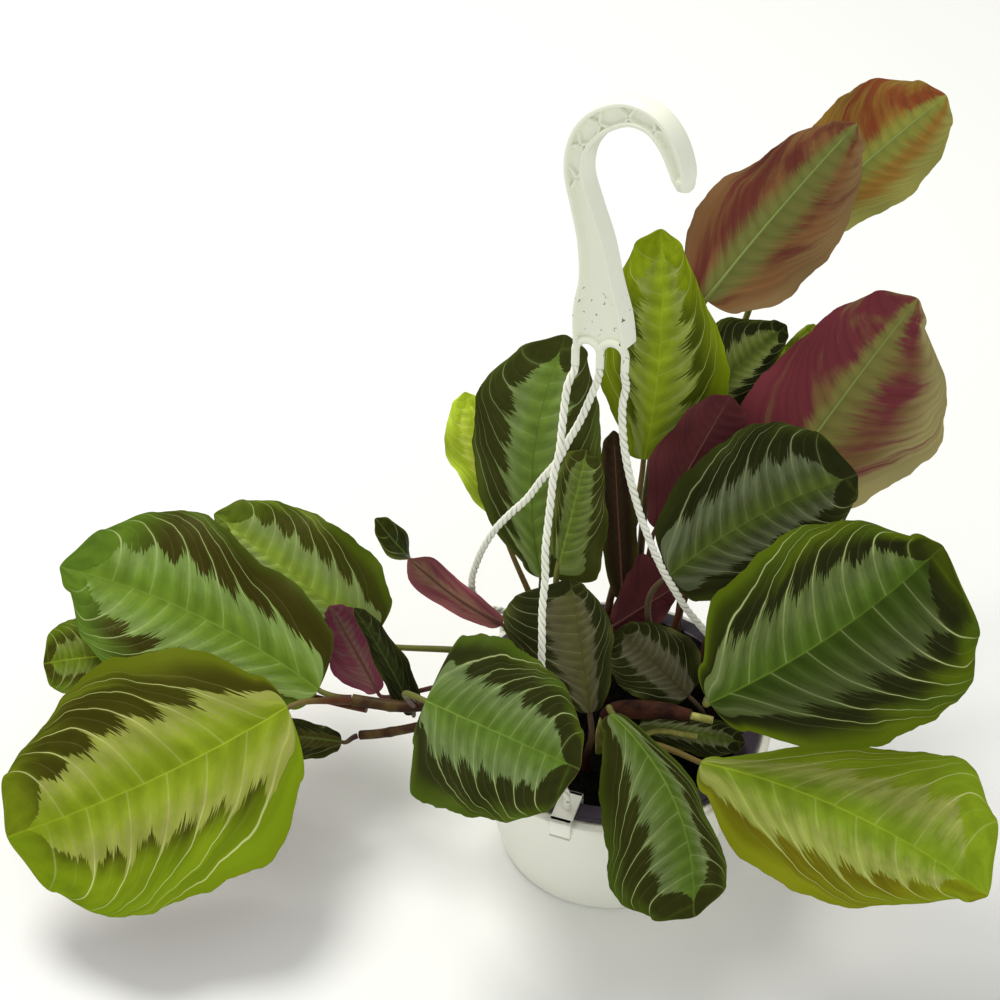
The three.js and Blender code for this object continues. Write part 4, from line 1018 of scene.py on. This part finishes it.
def side_material(side, entry):
    """The material of one side of a leaf, shared by the leaves that have the same colours."""
    family = entry["look"] if side == "upper" else entry["under"]
    tint = TINTS[side].get(entry["name"], {})
    look = {**LOOKS[side][family], **tint, "Veins": entry["veins"]}
    if side == "upper":
        look.setdefault("Left margin", look["Margin"])
        look.setdefault("Tip fade", NO_TIP_FADE)
    name = f"{side} {entry['name'] if tint else family}"
    if name not in materials_made:
        materials_made[name] = leaf_material(name, side, look)
    return materials_made[name]


def make_leaf(entry, number):
    blade = Blade(entry)
    u, v, rows, columns = blade_grid(entry)
    middle = blade.places(u, v)
    thick = BLADE_THICKNESS / 2 * (1 - 0.5 * np.abs(v) ** 4)
    half = blade.out(u) * thick[:, None]
    upper, rim = sheet_faces(rows, columns)
    count = len(u)
    under = [tuple(count + k for k in reversed(face)) for face in upper]
    edge = [(a, a + count, b + count, b) for a, b in zip(rim, rim[1:] + rim[:1])]
    path, radii = stalk_path(entry, blade)
    stalk = rings_along(path, radii, STALK_SIDES)
    stalk_faces = tube_faces(len(path), STALK_SIDES, 2 * count)
    points = np.vstack([middle + half, middle - half, stalk]) * MM
    faces = upper + under + edge + stalk_faces
    stalk_look = "purple" if entry["name"] in PURPLE_STALKS else entry["look"]
    slots = [side_material("upper", entry), side_material("under", entry), STALKS[stalk_look]]
    piece = make_object(f"plant_{entry['name']}", points, faces, slots)
    which = [0] * len(upper) + [1] * (len(under) + len(edge)) + [2] * len(stalk_faces)
    piece.data.polygons.foreach_set("material_index", which)
    rest = len(stalk)
    across = v * blade.width(u, v)
    values = {
        "leaf_u": np.r_[u, u, np.zeros(rest)],
        "leaf_v": np.r_[v, v, np.zeros(rest)],
        "leaf_across": np.r_[across, across, np.zeros(rest)],
        "leaf_seed": np.full(2 * count + rest, float(number)),
        "stalk": np.r_[np.zeros(2 * count), np.repeat(np.linspace(0, 1.6, len(path)), STALK_SIDES)],
    }
    for name, value in values.items():
        add_values(piece, name, value)
    stand_for(piece, entry.get("shows", f"{entry['look']}_leaf"), f"leaf_{entry['name']}")


for leaf_number, leaf_entry in enumerate(LEAVES):
    make_leaf(leaf_entry, leaf_number)

# Creeping stems, with a swollen joint every so often

STEMS = {
    "stem_left_upper": (
        [(-38, -2, 58), (-38, -2, 69), (-44, -2, 79), (-58, -2, 84), (-74, -2, 82), (-90, -1, 79),
         (-104, 2, 78), (-113, 4, 78)],
        2.6,
    ),
    "stem_left_lower": (
        [(-40, -11, 58), (-40, -11, 69), (-45, -11, 78), (-58, -10, 82), (-74, -9, 78), (-90, -7, 71),
         (-102, -4, 65), (-110, -2, 62)],
        2.1,
    ),
}
STEM_JOINT_SPACING = 22
STEM_JOINT_SWELLING = 0.12
STEM_JOINT_REACH = 1.6

STEM_SKIN = plain_material(
    "stem", (56, 34, 20), 0.5, grain=0.15, grain_scale=90, mottle=(84, 66, 34), gloss=0.12,
)


def make_stem(name, route, radius):
    path = even_path(route, 90)
    from_joint = walked_along(path) % STEM_JOINT_SPACING - STEM_JOINT_SPACING / 2
    swelling = STEM_JOINT_SWELLING * np.exp(-((from_joint / STEM_JOINT_REACH) ** 2))
    piece = make_tube(name.replace("stem", "shoot"), path, radius * (1 + swelling), 14, STEM_SKIN)
    stand_for(piece, "stem", name)


for stem_name, (stem_route, stem_radius) in STEMS.items():
    make_stem(stem_name, stem_route, stem_radius)

# Cut stems, one of them in a dry sheath

CUT_STEMS = {
    "cut_stem_sheathed": (
        [(-6, -16, 58), (-6, -16, 82), (-3, -17, 92), (8, -20, 97), (22, -23, 99), (40, -28, 99)],
        1.6,
    ),
    "cut_stem_bare": (
        [(6, -26, 58), (6, -26, 79), (10, -26, 86), (17, -25, 89), (34, -28, 89)],
        1.2,
    ),
}
SHEATH_PATH = [(-4, -16.8, 89), (-1, -17.4, 93.4), (8, -20, 97), (22, -23, 99), (31, -25.5, 99)]
SHEATH_RADII = [3, 3.8, 4.1, 3.5, 2.6]
SHEATH_WALL = 0.6
SHEATH_SIDES = 30

CUT = plain_material(
    "cut stem", (150, 150, 70), 0.6, grain=0.1, grain_scale=200, mottle=(188, 184, 104), gloss=0.2,
)
DRY = plain_material(
    "dry sheath", (42, 22, 15), 0.8, grain=0.5, grain_scale=120, mottle=(74, 42, 28), gloss=0.12,
)


def make_cut_stem(name, route, radius):
    path = even_path(route, 48)
    piece = make_tube(name.replace("cut_stem", "stub"), path, np.full(len(path), radius), 12, CUT)
    stand_for(piece, "cut_stem", name)


def sheath_ribs(ring, turn):
    return 1 + 0.035 * np.cos(9 * turn + 0.08 * ring) + 0.03 * np.cos(2 * turn + 0.2 * ring)


def make_sheath():
    """A papery tube, open at both ends, with lengthwise ribs."""
    path = even_path(SHEATH_PATH, 36)
    radii = np.interp(np.linspace(0, 1, len(path)), np.linspace(0, 1, len(SHEATH_RADII)), SHEATH_RADII)
    outside = rings_along(path, radii, SHEATH_SIDES, sheath_ribs)
    inside = rings_along(path, radii - SHEATH_WALL, SHEATH_SIDES, sheath_ribs)
    walls = tube_faces(len(path), SHEATH_SIDES)[:-2]
    start = len(outside)
    lining = [tuple(start + k for k in reversed(face)) for face in walls]
    ends = []
    for ring in (0, len(path) - 1):
        for k in range(SHEATH_SIDES):
            a = ring * SHEATH_SIDES + k
            b = ring * SHEATH_SIDES + (k + 1) % SHEATH_SIDES
            ends.append((b, a, start + a, start + b) if ring == 0 else (a, b, start + b, start + a))
    points = np.vstack([outside, inside]) * MM
    piece = make_object("dry_sheath", points, walls + lining + ends, [DRY], 50)
    stand_for(piece, "dry_sheath", "sheath")


for stub_name, (stub_route, stub_radius) in CUT_STEMS.items():
    make_cut_stem(stub_name, stub_route, stub_radius)
make_sheath()

# Pots: profiles of radius and height, spun about the middle

NURSERY_PROFILE = [
    (0, 2.8), (42, 2.8), (43.3, 3.4), (44, 4.8), (58.8, 75.6), (64.2, 75.6), (64.8, 75.9), (65, 76.5),
    (64.8, 77.4), (64, 78), (58.2, 78), (57.3, 77.7), (57, 77), (42.2, 5.3), (0, 5.3),
]
HANGING_PROFILE = [
    (0, 0), (46.8, 0), (48.3, 0.6), (49, 2), (64, 71.3), (64.6, 72), (68.2, 72.3), (68.9, 72.8),
    (69, 73.4), (68.8, 74.8), (68.1, 75.3), (62.6, 75.3), (62.1, 75), (61.9, 74.5), (47.2, 2.5),
    (0, 2.5),
]
SPIN_STEPS = 144


def turned_faces(rings):
    """Faces that join a first middle point, rings of points and a last middle point."""

    def at(i, k):
        return 1 + i * SPIN_STEPS + k % SPIN_STEPS

    faces = []
    for k in range(SPIN_STEPS):
        faces.append((0, at(0, k + 1), at(0, k)))
        for i in range(rings - 1):
            faces.append((at(i, k), at(i, k + 1), at(i + 1, k + 1), at(i + 1, k)))
        faces.append((at(rings, 0), at(rings - 1, k), at(rings - 1, k + 1)))
    return faces


def make_turned(name, profile, material):
    points = [(0, 0, profile[0][1])]
    for radius, height in profile[1:-1]:
        points += [(radius * math.cos(t), radius * math.sin(t), height) for t in circle(SPIN_STEPS)]
    points.append((0, 0, profile[-1][1]))
    return make_object(name, np.array(points) * MM, turned_faces(len(profile) - 2), [material], 32)


WHITE = plain_material("white plastic", (246, 247, 234), 0.42, grain=0.02, gloss=0.35)
BLACK = plain_material("black plastic", (52, 42, 56), 0.34, grain=0.02, gloss=0.4)
stand_for(make_turned("inner_pot", NURSERY_PROFILE, BLACK), "black_pot", "nursery_pot")
stand_for(make_turned("outer_pot", HANGING_PROFILE, WHITE), "white_pot", "hanging_pot")

# Soil: a lumpy top with loose crumbs, coloured near black as dark soil with painted shade for the deep
# inside of the pot

SOIL_EDGE = 54.6
SOIL_FOOT = 5.6
SOIL_FOOT_RADIUS = 41.5
SOIL_RINGS = 36
CRUMBS = 420
CRUMB_FACES = [
    (0, 2, 4), (2, 1, 4), (1, 3, 4), (3, 0, 4),
    (2, 0, 5), (1, 2, 5), (3, 1, 5), (0, 3, 5),
]
# Near black: the soil's own dark colour plus painted shade for the shadow deep inside the pot
SOIL_IN_PAINTED_SHADE = plain_material(
    "soil", (4, 4, 4), 0.95, grain=0.5, grain_scale=500, mottle=(14, 11, 9), gloss=0.05,
)


def soil_height(x, y):
    reach = np.hypot(x, y)
    lumps = 0.7 * np.sin(x * 0.31 + 1) * np.cos(y * 0.27) + 0.5 * np.sin(x * 0.9) * np.sin(y * 0.8 + 2)
    lumps = lumps * np.clip((SOIL_EDGE - reach) / 6, 0, 1)
    return SOIL_TOP + 0.4 - 2.2 * (reach / SOIL_EDGE) ** 3 + lumps


def make_soil():
    rng = random.Random(4)
    turn = circle(SPIN_STEPS)
    points = [(0, 0, SOIL_FOOT)]
    for ring, reach in enumerate([SOIL_FOOT_RADIUS, *np.linspace(SOIL_EDGE, 1.5, SOIL_RINGS)]):
        x = reach * np.cos(turn)
        y = reach * np.sin(turn)
        points += list(zip(x, y, soil_height(x, y) if ring else np.full_like(x, SOIL_FOOT)))
    points.append((0, 0, float(soil_height(0.0, 0.0))))
    faces = turned_faces(1 + SOIL_RINGS)
    for _ in range(CRUMBS):
        reach = SOIL_EDGE * 0.97 * math.sqrt(rng.random())
        angle = rng.random() * 2 * math.pi
        x = reach * math.cos(angle)
        y = reach * math.sin(angle)
        add_crumb(points, faces, (x, y, float(soil_height(x, y))), 0.5 + 1.3 * rng.random() ** 2, rng)
    stand_for(make_object("soil_top", np.array(points) * MM, faces, [SOIL_IN_PAINTED_SHADE], 180), "soil", "soil")


def add_crumb(points, faces, place, size, rng):
    """A small lump with six corners."""
    start = len(points)
    for axis, sign in ((0, 1), (0, -1), (1, 1), (1, -1), (2, 1), (2, -1)):
        corner = list(place)
        corner[axis] += sign * size * (0.6 + 0.6 * rng.random())
        points.append(tuple(corner))
    faces += [tuple(start + k for k in face) for face in CRUMB_FACES]


make_soil()

# Hook: an H section that follows a centre line [across, height over the rim, width]

HOOK_LINE = [
    (1.5, 197.5, 24.7), (0.4, 212, 22.3), (-0.9, 226, 15.5), (-3.8, 242, 12.2), (-8.2, 255, 10),
    (-12.1, 268, 8.8), (-11, 279, 8.8), (-6.5, 288, 9.5), (1, 295.5, 9.5), (10.5, 300.5, 9),
    (19.5, 300, 8.5), (26, 295, 8), (30.8, 286.5, 6.8), (33.4, 277.5, 4.2),
]
HOOK_THICKNESS = 8.5
HOOK_STEPS = 24
FLANGE = 1.7
POCKET_DEPTH = 2.2
BRACES = [9, 11.5, 14, 16.5, 19]
BRACE_WIDTH = 1.2
CORNER = 0.7
NOSE = 0.05
NOSE_STEPS = 14
HOOK_STATIONS = 170
ARCH_SIDES = 20


def hook_section(t):
    """The line's place at share t, which way is left there, and half the width."""
    here = curve_at(HOOK_LINE, t)
    ahead = curve_at(HOOK_LINE, min(1, t + 0.002)) - curve_at(HOOK_LINE, max(0, t - 0.002))
    left = np.array([-ahead[1], ahead[0]]) / math.hypot(ahead[0], ahead[1])
    level = np.array([-math.cos(FOOT_TILT), -math.sin(FOOT_TILT)])
    share = max(0, 1 - t * HOOK_STEPS)
    return here[:2], unit(left * (1 - share) + level * share), here[2] / 2


def section_points(half, front, pocket):
    """The H section as [across, depth], with rounded outer corners."""
    lip = half - FLANGE
    quarter = [
        (0, front - pocket), (lip - 0.6, front - pocket), (lip - 0.15, front - pocket * 0.75),
        (lip, front - min(pocket, 0.35)), (lip + 0.3, front), (half - CORNER, front),
        (half - CORNER * 0.3, front - CORNER * 0.3), (half, front - CORNER),
    ]
    right = quarter + [(x, -y) for x, y in reversed(quarter)]
    return right + [(-x, y) for x, y in reversed(right[1:-1])]


def make_hook():
    """The plate, rounded off at its nose, with its braces and the arches at its foot."""
    points = []
    last_pocket = 1 - 1 / HOOK_STEPS
    nose = 1 - NOSE * np.linspace(1, 0, NOSE_STEPS) ** 2
    stations = np.unique(np.r_[np.linspace(0, 1 - NOSE, HOOK_STATIONS), nose, last_pocket])
    for t in stations:
        flat, left, half = hook_section(t)
        rounding = math.sqrt(max(0.04, 1 - max(0, (t - 1 + NOSE) / NOSE) ** 2))
        pocket = POCKET_DEPTH * min(1, max(0, (last_pocket - t) * 200))
        half = max(half * rounding, FLANGE + 0.4)
        for across, depth in section_points(half, HOOK_THICKNESS / 2 * rounding**0.5, pocket):
            points.append(hook_point(*(flat - left * across), depth))
    faces = tube_faces(len(stations), len(points) // len(stations))
    for step in BRACES:
        for share in (-1, 1):
            add_brace(points, faces, hook_place(step - 0.7, share), hook_place(step + 0.7, -share))
    for half in (-0.5, 0.5):
        path = arch_path(half)
        start = len(points)
        points += list(rings_along(path, np.full(len(path), STRAND_DIAMETER / 2), ARCH_SIDES))
        faces += tube_faces(len(path), ARCH_SIDES, start)
    hook = make_object("hook", np.array(points) * MM, faces, [hook_material()], 38)
    stand_for(hook, "white_hanger", "hanger_hook")


def hook_place(step, share):
    """A place on the plate: a step along its line, and a share of its half width to the left."""
    flat, left, half = hook_section(step / HOOK_STEPS)
    return flat + left * share * (half - FLANGE / 2)


def add_brace(points, faces, start, end):
    """A low rounded rib across the plate, standing in both pockets."""
    side = unit(end - start) * BRACE_WIDTH / 2
    side = np.array([-side[1], side[0]])
    top = HOOK_THICKNESS / 2 - 0.8
    outline = [(1, 0), (1, top - 0.4), (0.55, top), (-0.55, top), (-1, top - 0.4), (-1, 0)]
    outline += [(share, -depth) for share, depth in reversed(outline[1:-1])]
    first = len(points)
    for place in (start, end):
        points += [hook_point(*(place + side * share), -depth) for share, depth in outline]
    faces += tube_faces(2, len(outline), first)


def arch_path(half):
    """One of the two small arches at the hook's foot, with upright ends."""
    start = leg_end(half - 0.5)
    finish = leg_end(half + 0.5)
    middle = ((start[0] + finish[0]) / 2, (start[1] + finish[1]) / 2 + LEG_DROP)
    path = [hook_point(*start, -FOOT_DEPTH), hook_point(*start, -FOOT_DEPTH) + (0, 0, 2)]
    for turn in np.linspace(math.pi, 0, 19):
        across = FOOT_ARCH * math.cos(turn)
        rise = FOOT_ARCH * math.sin(turn)
        sideways = across * math.cos(FOOT_TILT) - rise * math.sin(FOOT_TILT) * 0.3
        upward = across * math.sin(FOOT_TILT) + rise * math.cos(FOOT_TILT)
        path.append(hook_point(middle[0] + sideways, middle[1] + upward, -FOOT_DEPTH))
    end = hook_point(*finish, -FOOT_DEPTH)
    return np.array(path + [end + (0, 0, 2), end])


def hook_material():
    """White plastic with specks of dirt on the broad lower part."""
    material, wires, shader = new_material("specked white plastic", 0.42)
    place = wires.place()
    speck = wires.ramp(wires.noise(place, 420.0, 2.0, 0.6), 0.67, 0.7)
    low = wires.ramp(wires.height(place), 0.285, 0.315, 1.0, 0.0)
    white = linear((244, 246, 228))
    dirt = linear((70, 60, 50))
    wires.put(shader["Base Color"], wires.mix(speck * low, white, dirt))
    return material


make_hook()

# Clips, which reach over both lips and carry the strands on short posts

CLIP_WIDTH = 9
CLIP_INSIDE = 53.7
CLIP_OUTSIDE = 71.3
CATCH_TOP = 71.2
CATCH_REACH = 2.5
CLIP_INNER_LEG = 6
POST_RINGS = 6
POST_FLARE = 0.6
EDGE_ROUND = 0.35


def soft_box(low, high):
    """Points and faces of a box with rounded edges."""
    form = bmesh.new()
    bmesh.ops.create_cube(form, size=1)
    size = np.array(high) - np.array(low)
    centre = (np.array(high) + np.array(low)) / 2
    for vertex in form.verts:
        vertex.co = Vector(np.array(vertex.co) * size + centre)
    bmesh.ops.bevel(form, geom=form.edges[:], offset=EDGE_ROUND, segments=2, affect="EDGES", profile=0.5)
    form.verts.index_update()
    points = [tuple(vertex.co) for vertex in form.verts]
    faces = [tuple(vertex.index for vertex in face.verts) for face in form.faces]
    form.free()
    return points, faces


def make_clip(key, angle):
    """Four plates as (inside, outside, foot, top), turned to the clip's place, and the post."""
    outer_leg = CLIP_OUTSIDE - CLIP_WALL
    catch_foot = CATCH_TOP - CLIP_WALL
    plates = [
        (CLIP_INSIDE, CLIP_OUTSIDE, LIP_TOP + GAP, CLIP_TOP),
        (CLIP_INSIDE, CLIP_INSIDE + CLIP_WALL, CLIP_TOP - CLIP_INNER_LEG, CLIP_TOP),
        (outer_leg, CLIP_OUTSIDE, catch_foot, CLIP_TOP),
        (outer_leg - CATCH_REACH, CLIP_OUTSIDE, catch_foot, CATCH_TOP),
    ]
    side = CLIP_WIDTH / 2
    points = []
    faces = []
    for inside, outside, foot, top in plates:
        more, their_faces = soft_box((inside, -side, foot), (outside, side, top))
        faces += [tuple(len(points) + k for k in face) for face in their_faces]
        points += more
    post = [(CLIP_MIDDLE, 0, height) for height in np.linspace(POST_FOOT, POST_TOP, POST_RINGS)]
    radii = STRAND_DIAMETER / 2 + POST_FLARE * np.linspace(1, 0, POST_RINGS) ** 2
    start = len(points)
    points += [tuple(p) for p in rings_along(post, radii, ARCH_SIDES)]
    faces += tube_faces(len(post), ARCH_SIDES, start)
    c = math.cos(math.radians(angle))
    s = math.sin(math.radians(angle))
    spin = np.array([[c, -s, 0], [s, c, 0], [0, 0, 1]])
    piece = make_object(f"rim_clip_{key}", np.array(points) @ spin.T * MM, faces, [WHITE], 40)
    stand_for(piece, "white_hanger", f"clip_{key}")


for clip_key, clip_angle in CLIP_ANGLES.items():
    make_clip(clip_key, clip_angle)

# Floor and light, in metres

FLOOR_REACH = 4
LIGHT_AIM = (0, 0, 0.15)
WORLD_LIGHT = 0.58


def make_floor():
    corners = [(x * FLOOR_REACH, y * FLOOR_REACH, 0) for x, y in ((-1, -1), (1, -1), (1, 1), (-1, 1))]
    paint = plain_material("floor", (250, 250, 249), 0.9)
    floor = make_object("floor", corners, [(0, 1, 2, 3)], [paint])


def make_light(name, place, size, power, colour):
    data = bpy.data.lights.new(name, "AREA")
    data.shape = "DISK"
    data.size = size
    data.energy = power
    data.color = colour
    light = bpy.data.objects.new(name, data)
    light.location = place
    light.rotation_euler = (Vector(LIGHT_AIM) - Vector(place)).to_track_quat("-Z", "Y").to_euler()
    bpy.context.scene.collection.objects.link(light)


def make_world():
    world = bpy.data.worlds.new("room")
    world.use_nodes = True
    back = world.node_tree.nodes["Background"]
    back.inputs["Color"].default_value = (0.98, 0.99, 0.96, 1.0)
    back.inputs["Strength"].default_value = WORLD_LIGHT
    bpy.context.scene.world = world


make_floor()
make_light("window", (-0.6, 0.5, 1.7), size=0.8, power=20, colour=(1.0, 0.99, 0.94))
make_light("fill", (0.5, -1.4, 1.2), size=1.2, power=3, colour=(0.96, 0.98, 1.0))
make_world()
bpy.context.scene.view_settings.view_transform = "Standard"
